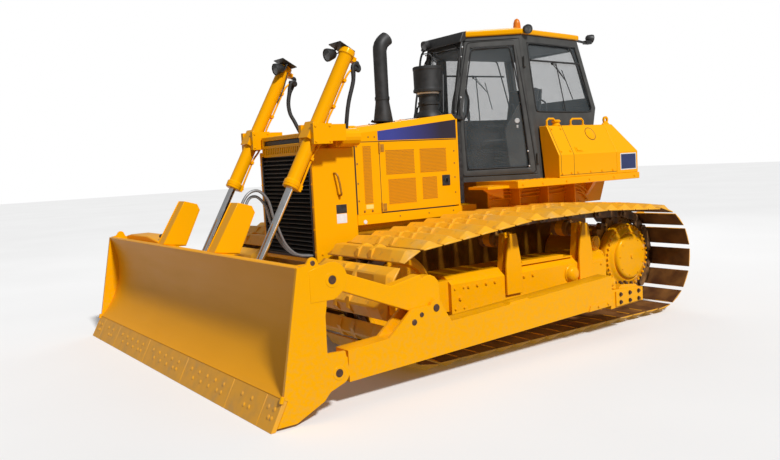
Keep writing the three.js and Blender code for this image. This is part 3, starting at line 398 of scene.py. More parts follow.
def edgePaint():
    material, tree, shader, where = newMaterial("cutting_edge_paint", "cutting_edge_steel")
    patches = noiseAt(tree, where, 9.0, 8.0)
    base = ramp(
        tree, patches,
        [(0.40, (0.80, 0.36, 0.015)), (0.62, (0.70, 0.33, 0.035)), (0.82, (0.54, 0.30, 0.10))],
    )
    tree.links.new(base, shader.inputs["Base Color"])
    roughnessFrom(tree, shader, patches, 0.35, 0.6)
    bumpFrom(tree, shader, noiseAt(tree, where, 90.0, 6.0), 0.15)
    return material


def seatCloth():
    material, tree, shader, where = newMaterial("seat_cloth", "seat_fabric")
    weave = tree.nodes.new("ShaderNodeTexChecker")
    weave.inputs["Scale"].default_value = 260.0
    tree.links.new(where, weave.inputs["Vector"])
    base = mixColours(tree, weave.outputs["Fac"], grey(0.018), grey(0.04))
    tree.links.new(base, shader.inputs["Base Color"])
    shader.inputs["Roughness"].default_value = 0.9
    shader.inputs["Sheen Weight"].default_value = 0.3
    bumpFrom(tree, shader, weave.outputs["Fac"], 0.25)
    return material


def tintedGlass():
    material, tree, shader, where = newMaterial("tinted_glass_pane", "tinted_glass")
    haze = noiseAt(tree, where, 3.0, 2.0)
    tree.links.new(
        ramp(tree, haze, [(0.3, (0.10, 0.12, 0.13)), (0.7, (0.14, 0.16, 0.17))]),
        shader.inputs["Base Color"],
    )
    shader.inputs["Roughness"].default_value = 0.03
    shader.inputs["IOR"].default_value = 1.45
    shader.inputs["Alpha"].default_value = 0.22
    shader.inputs["Specular IOR Level"].default_value = 0.6
    return material


def amberLens():
    material, tree, shader, where = newMaterial("amber_lens_plastic", "amber_lens")
    ribs = noiseAt(tree, where, 60.0, 2.0, (1, 1, 0.1))
    tree.links.new(
        ramp(tree, ribs, [(0.3, (0.85, 0.20, 0.01)), (0.7, (0.95, 0.32, 0.02))]),
        shader.inputs["Base Color"],
    )
    shader.inputs["Roughness"].default_value = 0.15
    shader.inputs["Transmission Weight"].default_value = 0.3
    return material


def chromePlate():
    material, tree, shader, where = newMaterial("rod_chrome_plate", "rod_chrome")
    film = noiseAt(tree, where, 30.0, 4.0)
    tree.links.new(ramp(tree, film, [(0.3, grey(0.72)), (0.7, grey(0.84))]), shader.inputs["Base Color"])
    roughnessFrom(tree, shader, film, 0.08, 0.18)
    shader.inputs["Metallic"].default_value = 1.0
    return material


paint = enamel("yellow_enamel")
lowPaint = enamel("yellow_enamel_dusty", dustShare=0.22, roughness=(0.30, 0.46))
bladePaint = bladeFacePaint()
shoes = shoePaint()
edge = edgePaint()
charcoal = speckled(
    "cab_charcoal_paint", "cab_charcoal", (0.045, 0.045, 0.043), (0.062, 0.062, 0.058), 9.0, (0.32, 0.45),
)
grilleBlack = speckled("grille_black_paint", "grille_black", grey(0.006), grey(0.018), 12.0, (0.4, 0.6))
exhaustBlack = speckled(
    "exhaust_black_paint", "exhaust_black", grey(0.008), grey(0.022), 14.0, (0.45, 0.65),
)
rubber = speckled("hose_cover", "hose_rubber", grey(0.008), grey(0.02), 22.0, (0.5, 0.75), grain=500.0)
plastic = speckled(
    "moulded_plastic", "interior_plastic", grey(0.02), grey(0.045), 40.0, (0.55, 0.75), grain=600.0,
    bump=0.2,
)
lampBlack = speckled("lamp_housing", "lamp_black", grey(0.01), grey(0.025), 30.0, (0.4, 0.6))
steel = speckled("bare_steel", "cutting_edge_steel", grey(0.30), grey(0.48), 20.0, (0.3, 0.5), 0.9)
# painted shade: dark brown for the chain inside the track
chainShade = speckled(
    "chain_painted_shade", "worn_shoe_steel", (0.05, 0.022, 0.006), (0.24, 0.11, 0.03), 14.0, (0.4, 0.65),
)
# painted shade: dark brown on the shoes' undersides
shoeUndersideShade = speckled(
    "shoe_underside_painted_shade", "worn_shoe_steel", (0.07, 0.022, 0.005), (0.20, 0.085, 0.018), 6.0, (0.5, 0.7),
)
# dark brown for rollers and sprocket teeth: some grime, and painted shade where they sit in the tracks'
# shadow
rollerGrimeAndShade = speckled(
    "roller_grime_and_shade", "yellow_paint", (0.16, 0.065, 0.01), (0.42, 0.19, 0.02), 9.0, (0.4, 0.6),
)
darkBolt = speckled("bolt_black", "cab_charcoal", grey(0.02), grey(0.05), 30.0, (0.35, 0.5), 0.3)
castIron = speckled(
    "engine_casting", "engine_grey", grey(0.10), grey(0.18), 16.0, (0.55, 0.8), 0.3, 90.0, 0.3,
)
chrome = chromePlate()
glass = tintedGlass()
amber = amberLens()
cloth = seatCloth()
lensGlass = speckled("lamp_lens", "lamp_black", grey(0.05), grey(0.12), 40.0, (0.08, 0.2), 0.4)
navy = speckled(
    "navy_stripe_film", "yellow_paint", (0.012, 0.022, 0.09), (0.018, 0.03, 0.12), 6.0, (0.3, 0.4),
)
hullPaintedShade = hullShadePaint()
print("materials ready")


# camera, floor and light

viewSetup = {
    "stand": (4.6919, 6.3666, 1.659),
    "heading": -2.1898,
    "tilt": -0.0771,
    "roll": 0.0529,
    "lens": 35.62,
    "shift": (0.0027, -0.0101),
}


def setCamera(look=viewSetup):
    heading, tilt = look["heading"], look["tilt"]
    ahead = Vector(
        (math.cos(tilt) * math.cos(heading), math.cos(tilt) * math.sin(heading), math.sin(tilt))
    )
    right = ahead.cross(up).normalized()
    down = ahead.cross(right)
    turnedRight = math.cos(look["roll"]) * right + math.sin(look["roll"]) * down
    turnedDown = math.cos(look["roll"]) * down - math.sin(look["roll"]) * right
    camera = bpy.data.objects.new("camera", bpy.data.cameras.new("camera"))
    bpy.context.scene.collection.objects.link(camera)
    basis = Matrix((turnedRight, -turnedDown, -ahead)).transposed()
    camera.matrix_world = Matrix.Translation(look["stand"]) @ basis.to_4x4()
    camera.data.lens = look["lens"]
    camera.data.sensor_width = 36
    camera.data.shift_x, camera.data.shift_y = look["shift"]
    bpy.context.scene.camera = camera


floorSize = {"reach": 60.0, "colour": (0.82, 0.82, 0.82)}


def layFloor(look=floorSize):
    bm = bmesh.new()
    bmesh.ops.create_grid(bm, x_segments=1, y_segments=1, size=look["reach"])
    mesh = bpy.data.meshes.new("floor")
    bm.to_mesh(mesh)
    bm.free()
    floor = bpy.data.objects.new("floor", mesh)
    bpy.context.scene.collection.objects.link(floor)
    material, tree, shader, where = newMaterial("floor_grey", "yellow_paint")
    cloud = noiseAt(tree, where, 0.4, 2.0)
    tree.links.new(
        ramp(tree, cloud, [(0.3, look["colour"]), (0.7, (0.85, 0.85, 0.85))]), shader.inputs["Base Color"],
    )
    shader.inputs["Roughness"].default_value = 0.9
    mesh.materials.append(material)
    floor.visible_diffuse = False


lampRig = {
    "key": {"kind": "SUN", "at": (0.3, 7.3, 6.6), "aim": (0, 0, 0), "size": 0.10, "power": 3.6},
    "far": {"kind": "AREA", "at": (-7.0, -7.0, 6.0), "aim": (0, 0, 1.2), "size": 5.0, "power": 150},
    "sky": 0.30,
    "backdrop": 1.0,
}


def setLights(rig=lampRig):
    world = bpy.data.worlds.new("studio")
    bpy.context.scene.world = world
    world.use_nodes = True
    nodes, links = world.node_tree.nodes, world.node_tree.links
    sky = nodes["Background"]
    sky.inputs["Color"].default_value = (1, 1, 1, 1)
    sky.inputs["Strength"].default_value = rig["sky"]
    wall = nodes.new("ShaderNodeBackground")
    wall.inputs["Strength"].default_value = rig["backdrop"]
    wall.inputs["Color"].default_value = (1, 1, 1, 1)
    rays = nodes.new("ShaderNodeLightPath")
    choice = nodes.new("ShaderNodeMixShader")
    links.new(rays.outputs["Is Camera Ray"], choice.inputs["Fac"])
    links.new(sky.outputs["Background"], choice.inputs[1])
    links.new(wall.outputs["Background"], choice.inputs[2])
    links.new(choice.outputs["Shader"], nodes["World Output"].inputs["Surface"])
    for name in ("key", "far"):
        setting = rig[name]
        data = bpy.data.lights.new(name, setting["kind"])
        data.energy = setting["power"]
        if setting["kind"] == "SUN":
            data.angle = setting["size"]
        else:
            data.size = setting["size"]
        lamp = bpy.data.objects.new(name, data)
        bpy.context.scene.collection.objects.link(lamp)
        aim = Vector(setting["aim"]) - Vector(setting["at"])
        turn = aim.to_track_quat("-Z", "Y").to_matrix().to_4x4()
        lamp.matrix_world = Matrix.Translation(setting["at"]) @ turn


bpy.context.scene.view_settings.view_transform = "Standard"
setCamera()
layFloor()
setLights()
print("camera, floor and lights ready")


# the frame's own nodes, given their finish and softened edges


dressing = {"weld": 0.00005, "flat": 1, "rounded": 30}


def dress(names, material, bevel=0.003):
    for name in names:
        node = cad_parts[name]
        node.data.materials.clear()
        node.data.materials.append(material)
        if bevel:
            weld = node.modifiers.new("weld", "WELD")
            weld.merge_threshold = dressing["weld"]
            flat = node.modifiers.new("flat", "DECIMATE")
            flat.decimate_type = "DISSOLVE"
            flat.angle_limit = math.radians(dressing["flat"])
            rounding = node.modifiers.new("edges", "BEVEL")
            rounding.width = bevel
            rounding.segments = 2
            rounding.limit_method = "ANGLE"
            rounding.angle_limit = math.radians(dressing["rounded"])


def both(*names):
    return [f"{side}_{name}" for name in names for side, hand in sides]


# the hull's lower part takes painted shade
dress(["main_frame"], hullPaintedShade, 0.006)
dress(["equaliser_bar", "rear_drawbar"], lowPaint, 0.006)
dress(["radiator_guard"], paint, 0.008)
dress(["hood_top", *both("front_side_panel", "engine_door")], paint, 0.003)
dress([*both("fender_deck", "side_tank"), "rear_fuel_tank"], paint, 0.006)
dress(["cab_frame", *both("cab_door")], charcoal, 0.004)
dress(["cab_roof"], paint, 0.012)
dress(["windscreen", "rear_glass", *both("door_glass", "quarter_glass")], glass, 0)
dress(["engine_block"], castIron, 0.01)
dress(["radiator_grille"], grilleBlack, 0.002)
dress(["cutting_edge"], edge, 0.004)
dress(["blade"], paint, 0.004)
dress([*both("push_arm"), "left_brace", "right_tilt_cylinder"], paint, 0.006)
dress(both("cylinder_support"), paint, 0.006)
dress(both("track_frame"), lowPaint, 0.004)
dress(both("lift_barrel"), paint, 0.003)
dress(both("lift_rod"), chrome, 0.002)
dress(both("lift_hose"), rubber, 0)
dress(both("work_lamp"), lampBlack, 0.004)
dress(["exhaust_stack", "air_precleaner"], exhaustBlack, 0.004)
dress(["beacon"], amber, 0.002)
dress(["operator_seat"], cloth, 0.02)
dress(["instrument_panel", *both("armrest_console")], plastic, 0.01)
print("frame nodes dressed")


# crawler tracks: shoes, links and pins run round the chain line

shoeShape = {
    "half": 0.462,  # of the pitch
    "plate": 0.012,
    "ridge": 0.069,
    "ridgeFlat": 0.009,
    "crestFall": 0.012,
    "endSlope": 0.052,
    "lugOffset": 0.095,
    "lugWidth": 0.046,
}
linkShape = {"thickness": 0.026, "waist": 0.036, "end": 0.047, "pin": 0.022}


def chainLine(size):
    groundPitch = size["linkHalf"] + size["grouser"]
    small = size["carrierRadius"] + size["linkHalf"]
    wheels = [
        (0.0, size["sprocketRadius"] + groundPitch, size["sprocketRadius"]),
        (size["wheelbase"], size["idlerRadius"] + groundPitch, size["idlerRadius"]),
    ]
    for x, rise in zip(size["carrierX"], size["carrierRise"]):
        wheels.append((x, rise - small, small))
    leaves = []
    for (ax, az, ar), (bx, bz, br) in zip(wheels, wheels[1:] + wheels[:1]):
        reach = math.hypot(bx - ax, bz - az)
        leaves.append(math.atan2(bz - az, bx - ax) - math.acos((ar - br) / reach))
    stretches = []
    for k, (x, z, r) in enumerate(wheels):
        start, end = leaves[k - 1], leaves[k]
        while end < start:
            end += 2 * math.pi
        stretches.append(("bend", r * (end - start), (x, z, r, start)))
        nx, nz, nr = wheels[(k + 1) % len(wheels)]
        ray = Vector((math.cos(end), math.sin(end)))
        first, last = Vector((x, z)) + ray * r, Vector((nx, nz)) + ray * nr
        stretches.append(("run", (last - first).length, (first, last, end)))
    return stretches


chainRuns = chainLine(trackSize)
chainLength = sum(length for kind, length, data in chainRuns)
shoePitch = chainLength / trackSize["shoes"]


def onChain(distance):
    # the point on the pins' line, and the angle that points out of the loop there
    left = distance % chainLength
    for kind, length, data in chainRuns:
        if left <= length:
            break
        left -= length
    if kind == "run":
        first, last, angle = data
        return first.lerp(last, left / length), angle
    x, z, r, start = data
    angle = start + left / r
    return Vector((x + r * math.cos(angle), z + r * math.sin(angle))), angle


def onTrack(distance, y, rise=0.0):
    # turns a shape drawn along +X with +Z outwards onto the chain
    point, angle = onChain(distance)
    out = Vector((math.cos(angle), 0, math.sin(angle)))
    along = Vector((-out.z, 0, out.x))
    basis = Matrix((along, Vector((0, 1, 0)), out)).transposed()
    where = place(point.x, y, point.y) + out * rise
    return Matrix.Translation(where) @ basis.to_4x4()


def repeatInto(bm, drawn, turns):
    # copies a drawn bmesh to each place, then frees it
    pattern = bpy.data.meshes.new("pattern")
    drawn.to_mesh(pattern)
    drawn.free()
    for turn in turns:
        count = len(bm.verts)
        bm.from_mesh(pattern)
        bm.verts.ensure_lookup_table()
        bmesh.ops.transform(bm, matrix=turn, verts=bm.verts[count:])
    bpy.data.meshes.remove(pattern)


def ridgeInto(bm, half, plate, flat, stations):
    # a roof-shaped bar drawn along Y through stations of (y, crest height)
    y, crest = stations[0]
    section = [(-half, 0), (half, 0), (half, plate), (flat, crest), (-flat, crest), (-half, plate)]
    face = bm.faces.new([bm.verts.new((x, y, z)) for x, z in section])
    for nextY, nextCrest in stations[1:]:
        grown = bmesh.ops.extrude_face_region(bm, geom=[face])["geom"]
        face = [part for part in grown if isinstance(part, bmesh.types.BMFace)][0]
        top = [vert for vert in face.verts if vert.co.z > plate + 1e-4]
        bmesh.ops.translate(bm, vec=(0, nextY - y, 0), verts=face.verts[:])
        bmesh.ops.translate(bm, vec=(0, 0, nextCrest - crest), verts=top)
        y, crest = nextY, nextCrest


def drawShoe(shape=shoeShape):
    bm = bmesh.new()
    halfWidth = trackSize["shoeWidth"] / 2
    shoulder = halfWidth - shape["endSlope"]
    half = shape["half"] * shoePitch
    low = shape["plate"] + 0.004
    crests = [(-halfWidth, low)]
    for share in (-1.0, -0.7, -0.35, 0.35, 0.7, 1.0):
        crests.append((share * shoulder, shape["ridge"] - shape["crestFall"] * share * share))
    crests.append((halfWidth, low))
    ridgeInto(bm, half, shape["plate"], shape["ridgeFlat"], crests)
    for side in (-1, 1):
        y = side * shape["lugOffset"]
        strap = [(y - shape["lugWidth"] / 2, shape["ridge"]), (y + shape["lugWidth"] / 2, shape["ridge"])]
        ridgeInto(bm, half - 0.006, shape["plate"] + 0.010, 0.046, strap)
    for face in bm.faces:
        if face.calc_center_median().z < 1e-4:
            face.material_index = 1  # the side that rests on the chain
    return bm


def drawLink(outer, shape=linkShape):
    # a side bar with round ends, from its own pin at the origin to the next one
    bm = bmesh.new()
    y = trackSize["railSpacing"] / 2 + (0.5 if outer else -0.5) * shape["thickness"]
    chord = shoePitch
    outline = [(shape["end"] * math.cos(t), shape["end"] * math.sin(t)) for t in steps(130, 230, 4)]
    outline += [(chord * 0.3, -shape["waist"]), (chord * 0.7, -shape["waist"])]
    outline += [(chord + shape["end"] * math.cos(t), shape["end"] * math.sin(t)) for t in steps(-50, 50, 4)]
    outline += [(chord * 0.7, shape["waist"] + 0.012), (chord * 0.3, shape["waist"] + 0.012)]
    for side in (-1, 1):
        start = side * y - shape["thickness"] / 2
        plateInto(bm, [(x, start, z) for x, z in outline], (0, shape["thickness"], 0))
        roundInto(bm, (0, side * (y - 0.02), 0), (0, side * (y + 0.028), 0), shape["pin"], 10)
    return bm


def steps(start, end, count):
    return [math.radians(start + (end - start) * k / count) for k in range(count + 1)]


def makeTrack(side, hand):
    y = hand * trackSize["gauge"] / 2
    ring = range(trackSize["shoes"])
    bm = bmesh.new()
    repeatInto(bm, drawShoe(), [onTrack((k + 0.5) * shoePitch, y, trackSize["linkHalf"]) for k in ring])
    shoeRing = finishPiece(f"{side}_track_shoes", bm, "root", shoes, 0.003, 1)
    # the undersides take the painted shade
    shoeRing.data.materials.append(shoeUndersideShade)
    bm = bmesh.new()
    repeatInto(bm, drawLink(False), [chordTurn(k, y) for k in ring if k % 2])
    repeatInto(bm, drawLink(True), [chordTurn(k, y) for k in ring if k % 2 == 0])
    finishPiece(f"{side}_track_chain", bm, "root", chainShade, 0.002, 1)
    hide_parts(f"{side}_track")


def chordTurn(k, y):
    # a link lies straight between its two pins, whatever the chain does
    first, last = onChain(k * shoePitch)[0], onChain((k + 1) * shoePitch)[0]
    start, end = place(first.x, y, first.y), place(last.x, y, last.y)
    along = (end - start).normalized()
    out = Vector((along.z, 0, -along.x))
    basis = Matrix((along, Vector((0, 1, 0)), out)).transposed()
    return Matrix.Translation(start) @ basis.to_4x4()


for side, hand in sides:
    makeTrack(side, hand)
print("tracks made")


# final drives, idlers, rollers and what is bolted to the track frames

groundPitch = trackSize["linkHalf"] + trackSize["grouser"]
sprocketZ = trackSize["sprocketRadius"] + groundPitch
idlerZ = trackSize["idlerRadius"] + groundPitch
trackY = trackSize["gauge"] / 2

driveShape = {
    "inner": 0.4203,
    "face": 1.372,
    "teeth": 27,
    "tip": 0.426,
    "root": 0.392,
    "toothWidth": 0.064,
    "rimBolts": 38,
    "rimRing": 0.312,
    "faceBolts": 9,
    "faceRing": 0.19,
}


def makeFinalDrive(side, hand, shape=driveShape):
    axle = place(0, 0, sprocketZ)
    outward = Vector((0, hand, 0))
    bm = bmesh.new()
    profile = [
        (shape["inner"], 0.0), (shape["inner"], 0.27), (0.76, 0.27), (0.80, 0.315), (1.03, 0.315),
        (1.036, 0.300), (1.205, 0.300), (1.205, 0.336), (1.222, 0.336), (1.224, 0.328), (1.234, 0.328),
        (1.236, 0.339), (1.288, 0.339), (1.296, 0.334), (1.318, 0.286), (1.322, 0.280), (1.336, 0.262),
        (1.340, 0.250), (1.333, 0.246), (1.333, 0.238), (1.352, 0.232), (1.364, 0.222), (1.371, 0.206),
        (shape["face"], 0.190), (shape["face"], 0.0),
    ]
    spunInto(bm, profile, axle, outward, 64)
    drive = finishPiece(f"{side}_hub_cover", bm, "root", paint, 0.0015, 1)
    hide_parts(f"{side}_final_drive")
    bm = bmesh.new()
    ringOfBolts(bm, axle + outward * 1.298, outward, shape["rimRing"], shape["rimBolts"], 0.0125, 0.024)
    ringOfBolts(
        bm, axle + outward * (shape["face"] - 0.001), outward, shape["faceRing"], shape["faceBolts"],
        0.008, 0.007, 0.3,
    )
    roundInto(
        bm, axle + outward * (shape["face"] - 0.002), axle + outward * (shape["face"] + 0.008), 0.022, 6,
    )
    finishPiece(f"{side}_hub_bolts", bm, "root", paint)
    bm = bmesh.new()
    turns = shape["teeth"] * 4
    outline = []
    for k in range(turns):
        radius = shape["tip"] if k % 4 < 2 else shape["root"]
        angle = 2 * math.pi * (k + 0.5) / turns
        outline.append((radius * math.cos(angle), sprocketZ + radius * math.sin(angle)))
    middleY = hand * trackY
    sidePlateInto(bm, outline, middleY - shape["toothWidth"] / 2, middleY + shape["toothWidth"] / 2)
    ringOfBolts(
        bm, place(0, middleY + hand * shape["toothWidth"] / 2, sprocketZ), outward, 0.362, 18, 0.012,
        0.014,
    )
    finishPiece(f"{side}_sprocket_teeth", bm, "root", rollerGrimeAndShade, 0.003, 1)


def makeIdler(side, hand):
    centre = place(trackSize["wheelbase"], hand * trackY, idlerZ)
    bm = bmesh.new()
    profile = [
        (-0.118, 0.0), (-0.118, 0.078), (-0.112, 0.088), (-0.076, 0.090), (-0.070, 0.285), (-0.096, 0.300),
        (-0.100, 0.340), (-0.052, 0.345), (-0.042, 0.386), (0.042, 0.386), (0.052, 0.345), (0.100, 0.340),
        (0.096, 0.300), (0.070, 0.285), (0.076, 0.090), (0.112, 0.088), (0.118, 0.078), (0.118, 0.0),
    ]
    spunInto(bm, profile, centre, (0, 1, 0), 56)
    wheel = finishPiece(f"{side}_idler_wheel", bm, "root", lowPaint, 0.002, 1)
    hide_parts(f"{side}_idler")
    bm = bmesh.new()
    ringOfBolts(bm, centre + Vector((0, hand * 0.118, 0)), (0, hand, 0), 0.062, 6, 0.011, 0.01)
    # slide guard on the fork's outer cheek, with its bolts
    outer = Vector((0, hand * 0.205, 0))
    boxInto(
        bm, centre + outer + Vector((-0.12, -0.012, -0.085)),
        centre + outer + Vector((0.11, 0.012, 0.085)),
    )
    for dx, dz in ((-0.09, -0.06), (-0.09, 0.06), (0.08, -0.06), (0.08, 0.06)):
        boltInto(bm, centre + outer + Vector((dx, hand * 0.012, dz)), (0, hand, 0), 0.013, 0.014)
    finishPiece(f"{side}_idler_keeper", bm, "root", lowPaint, 0.003, 1)


frameShape = {
    "rear": 0.45,
    "front": 2.47,
    "bottom": 0.33,
    "shoulder": 0.60,
    "top": 0.665,
    "outer": 1.400,
    "rollers": 6,
    "rollerRadius": 0.085,
}


def makeRollers(side, hand, shape=frameShape):
    bm = bmesh.new()
    rollerZ = groundPitch + trackSize["linkHalf"] + shape["rollerRadius"]
    first, last = shape["rear"] + 0.05, shape["front"] - 0.04
    r = shape["rollerRadius"]
    profile = [
        (-0.132, 0.0), (-0.132, 0.046), (-0.106, 0.05), (-0.102, r + 0.012), (-0.094, r + 0.014),
        (-0.088, r + 0.001), (-0.034, r + 0.001), (0.034, r + 0.001), (0.088, r + 0.001),
        (0.094, r + 0.014), (0.102, r + 0.012), (0.106, 0.05), (0.132, 0.046), (0.132, 0.0),
    ]
    for k in range(shape["rollers"]):
        x = first + (last - first) * k / (shape["rollers"] - 1)
        spunInto(bm, profile, place(x, hand * trackY, rollerZ), (0, 1, 0), 24)
    finishPiece(f"{side}_track_rollers", bm, "root", rollerGrimeAndShade)
    bm = bmesh.new()
    small = trackSize["carrierRadius"]
    profile = [
        (-0.108, 0.0), (-0.108, small * 0.7), (-0.100, small), (-0.045, small), (-0.040, small * 0.9),
        (0.040, small * 0.9), (0.045, small), (0.090, small), (0.094, 0.055), (0.140, 0.050),
        (0.146, 0.043), (0.205, 0.043), (0.212, 0.030), (0.212, 0.0),
    ]
    for x, rise in zip(trackSize["carrierX"], trackSize["carrierRise"]):
        z = rise - trackSize["linkHalf"] - small
        spunInto(bm, profile, place(x, hand * trackY, z), (0, hand, 0), 32)
        cap = place(x, hand * (trackY + 0.212), z)
        ringOfBolts(bm, place(x, hand * (trackY + 0.094), z), (0, hand, 0), 0.066, 5, 0.007, 0.007)
        roundInto(bm, cap, cap + Vector((0, hand * 0.008, 0)), 0.012, 6)
    finishPiece(f"{side}_carrier_rollers", bm, "root", rollerGrimeAndShade)


def makeFrameFittings(side, hand, shape=frameShape):
    out = Vector((0, hand, 0))
    faceY = hand * shape["outer"]
    bm = bmesh.new()
    # bolt rows, the spring cover plate and the small covers by the final drive
    for x in (2.278, 2.174, 2.070, 1.965, 1.716, 1.603, 1.489):
        boltInto(bm, place(x, faceY, 0.560), out, 0.013, 0.014)
    boltInto(bm, place(2.376, faceY, 0.470), out, 0.016, 0.016)
    for x in (2.43, 2.33):
        for z in (0.385, 0.56):
            boltInto(bm, place(x, faceY, z), out, 0.010, 0.010)
    low, high = (0.515, 0.36), (0.74, 0.575)
    boxInto(
        bm, place(low[0], min(faceY, faceY + hand * 0.012), low[1]),
        place(high[0], max(faceY, faceY + hand * 0.012), high[1]),
    )
    for x in (low[0] + 0.025, high[0] - 0.025):
        for z in (low[1] + 0.025, high[1] - 0.025):
            boltInto(bm, place(x, faceY + hand * 0.012, z), out, 0.010, 0.010)
    finishPiece(f"{side}_frame_bolts", bm, "root", lowPaint, 0.0015, 1)
    bm = bmesh.new()
    # ringed end covers of the swing bracket just ahead of the final drive
    for x, y, z, radius in ((0.455, 1.300, 0.590, 0.086), (0.415, 1.235, 0.735, 0.070)):
        centre = place(x, hand * y, z)
        spunInto(
            bm,
            [
                (-0.12, 0), (-0.12, radius * 0.86), (-0.004, radius * 0.86), (0.0, radius),
                (0.016, radius), (0.019, radius * 0.6), (0.026, radius * 0.56), (0.026, 0),
            ],
            centre, out, 36,
        )
        ringOfBolts(bm, centre + out * 0.016, out, radius * 0.82, 12, 0.006, 0.007)
    arm = [(0.56, 0.52), (0.62, 0.64), (0.47, 0.80), (0.36, 0.80), (0.34, 0.55), (0.46, 0.47)]
    flankInto(bm, hand, arm, 1.20, 1.235)
    finishPiece(f"{side}_swing_bracket", bm, "root", lowPaint, 0.003, 1)
    bm = bmesh.new()
    # carrier post caps and bolts
    for x, rise in zip(trackSize["carrierX"], trackSize["carrierRise"]):
        z = rise - trackSize["linkHalf"] - trackSize["carrierRadius"]
        centre = place(x, hand * 1.347, z)
        spunInto(
            bm,
            [
                (0, 0), (0, 0.070), (0.012, 0.070), (0.016, 0.064), (0.018, 0.034), (0.026, 0.030),
                (0.026, 0),
            ],
            centre, out, 28,
        )
        ringOfBolts(bm, centre + out * 0.014, out, 0.052, 4, 0.007, 0.008, 0.4)
    finishPiece(f"{side}_carrier_caps", bm, "root", lowPaint, 0.001, 1)
    bm = bmesh.new()
    # each carrier post's outer plate runs on down the frame's side
    y0, y1 = sorted((hand * (shape["outer"] + 0.0075), hand * (shape["outer"] + 0.030)))
    for x, rise in zip(trackSize["carrierX"], trackSize["carrierRise"]):
        z = rise - trackSize["linkHalf"] - trackSize["carrierRadius"]
        sidePlateInto(
            bm,
            [
                (x - 0.095, 0.425), (x + 0.095, 0.425), (x + 0.095, 0.70), (x + 0.052, z + 0.02),
                (x + 0.040, z + 0.058), (x - 0.040, z + 0.058), (x - 0.052, z + 0.02), (x - 0.095, 0.70),
            ],
            y0, y1,
        )
    # the stepped cover between the posts, low and long on the frame's top
    y0, y1 = sorted((hand * 1.03, hand * 1.36))
    for x0, x1, z1 in ((0.90, 1.66, 0.672), (1.00, 1.56, 0.690)):
        boxInto(bm, place(x0, y0, 0.655), place(x1, y1 - hand * (0.0 if z1 < 0.68 else 0.02), z1))
    finishPiece(f"{side}_carrier_plates", bm, "root", lowPaint, 0.004)
    bm = bmesh.new()
    # domed cover where the arm's pivot leaves the frame
    dome = place(0.97, hand * (shape["outer"] - 0.004), 0.505)
    spunInto(
        bm,
        [
            (-0.02, 0), (-0.02, 0.088), (0.012, 0.088), (0.018, 0.080), (0.040, 0.072), (0.056, 0.054),
            (0.064, 0.030), (0.066, 0.0),
        ],
        dome, out, 36,
    )
    finishPiece(f"{side}_pivot_dome", bm, "root", lowPaint)
    bm = bmesh.new()
    white = place(0.800, hand * 1.340, 0.615)
    bmesh.ops.create_icosphere(bm, subdivisions=3, radius=0.030, matrix=Matrix.Translation(white))
    finishPiece(f"{side}_grease_fitting", bm, "root", palePlastic)
    bm = bmesh.new()
    boxInto(
        bm, place(2.60, min(hand * 1.32, hand * 1.324), 0.50),
        place(2.68, max(hand * 1.32, hand * 1.324), 0.60),
    )
    finishPiece(f"{side}_frame_plate", bm, "root", palePlastic)


palePlastic = speckled("pale_plate", "lamp_black", grey(0.66), grey(0.76), 30.0, (0.3, 0.45))
for side, hand in sides:
    makeFinalDrive(side, hand)
    makeIdler(side, hand)
    makeRollers(side, hand)
    makeFrameFittings(side, hand)
print("final drives, idlers and track frames fitted out")


# blade, cutting edge and push arms

bladeShape = {
    "halfWidth": 2.056,
    "seam": (4.437, 0.196),
    "tip": (4.541, 0.0),
    "thickness": 0.032,
    "joints": (-1.84, -1.33, -0.46, 0.46, 1.33, 1.84),
    "boltPitch": 0.152,
    "rows": (0.075, 0.135),
}


def makeCuttingEdge(shape=bladeShape):
    seam, tip = Vector(shape["seam"]), Vector(shape["tip"])
    run = (tip - seam).normalized()
    back = Vector((run.y, -run.x)) * shape["thickness"]
    low = tip.x - shape["thickness"] / -run.y
    section = [tuple(tip), tuple(seam + run * 0.0005), tuple(seam + run * 0.0005 + back), (low, 0.0)]
    stops = [-shape["halfWidth"], *shape["joints"], shape["halfWidth"]]
    bm = bmesh.new()
    for y0, y1 in zip(stops, stops[1:]):
        sidePlateInto(bm, section, y0 + 0.002, y1 - 0.002)
    bars = finishPiece("cutting_edge_bars", bm, "blade_group", edge, 0.003)
    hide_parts("cutting_edge")
    # domed bolt heads in two rows, closer together on the end bits
    bm = bmesh.new()
    face = Vector((-run.y, 0, run.x))
    for y0, y1 in zip(stops, stops[1:]):
        pitch = shape["boltPitch"] * (0.55 if y1 - y0 < 0.3 else 1.0)
        count = max(2, int((y1 - y0 - 0.06) / pitch))
        for k in range(count):
            y = (y0 + y1) / 2 + (k - (count - 1) / 2) * pitch
            for row, along in enumerate(shape["rows"]):
                spot = seam + run * along
                head = place(spot.x, y + row * pitch * 0.5 * (k < count - 1), spot.y)
                spunInto(
                    bm, [(-0.004, 0), (-0.004, 0.017), (0.001, 0.017), (0.006, 0.009), (0.007, 0)], head,
                    face, 12,
                )
    finishPiece("cutting_edge_bolts", bm, "blade_group", edge)


def pinFace(bm, x, y, z, hand, radius, depth=0.004):
    # the end of a pin, standing a little proud of its plate
    spunInto(bm, [(-0.01, 0), (-0.01, radius), (depth * 0.6, radius), (depth, radius * 0.85), (depth, 0)],
             place(x, hand * y, z), (0, hand, 0), 28)


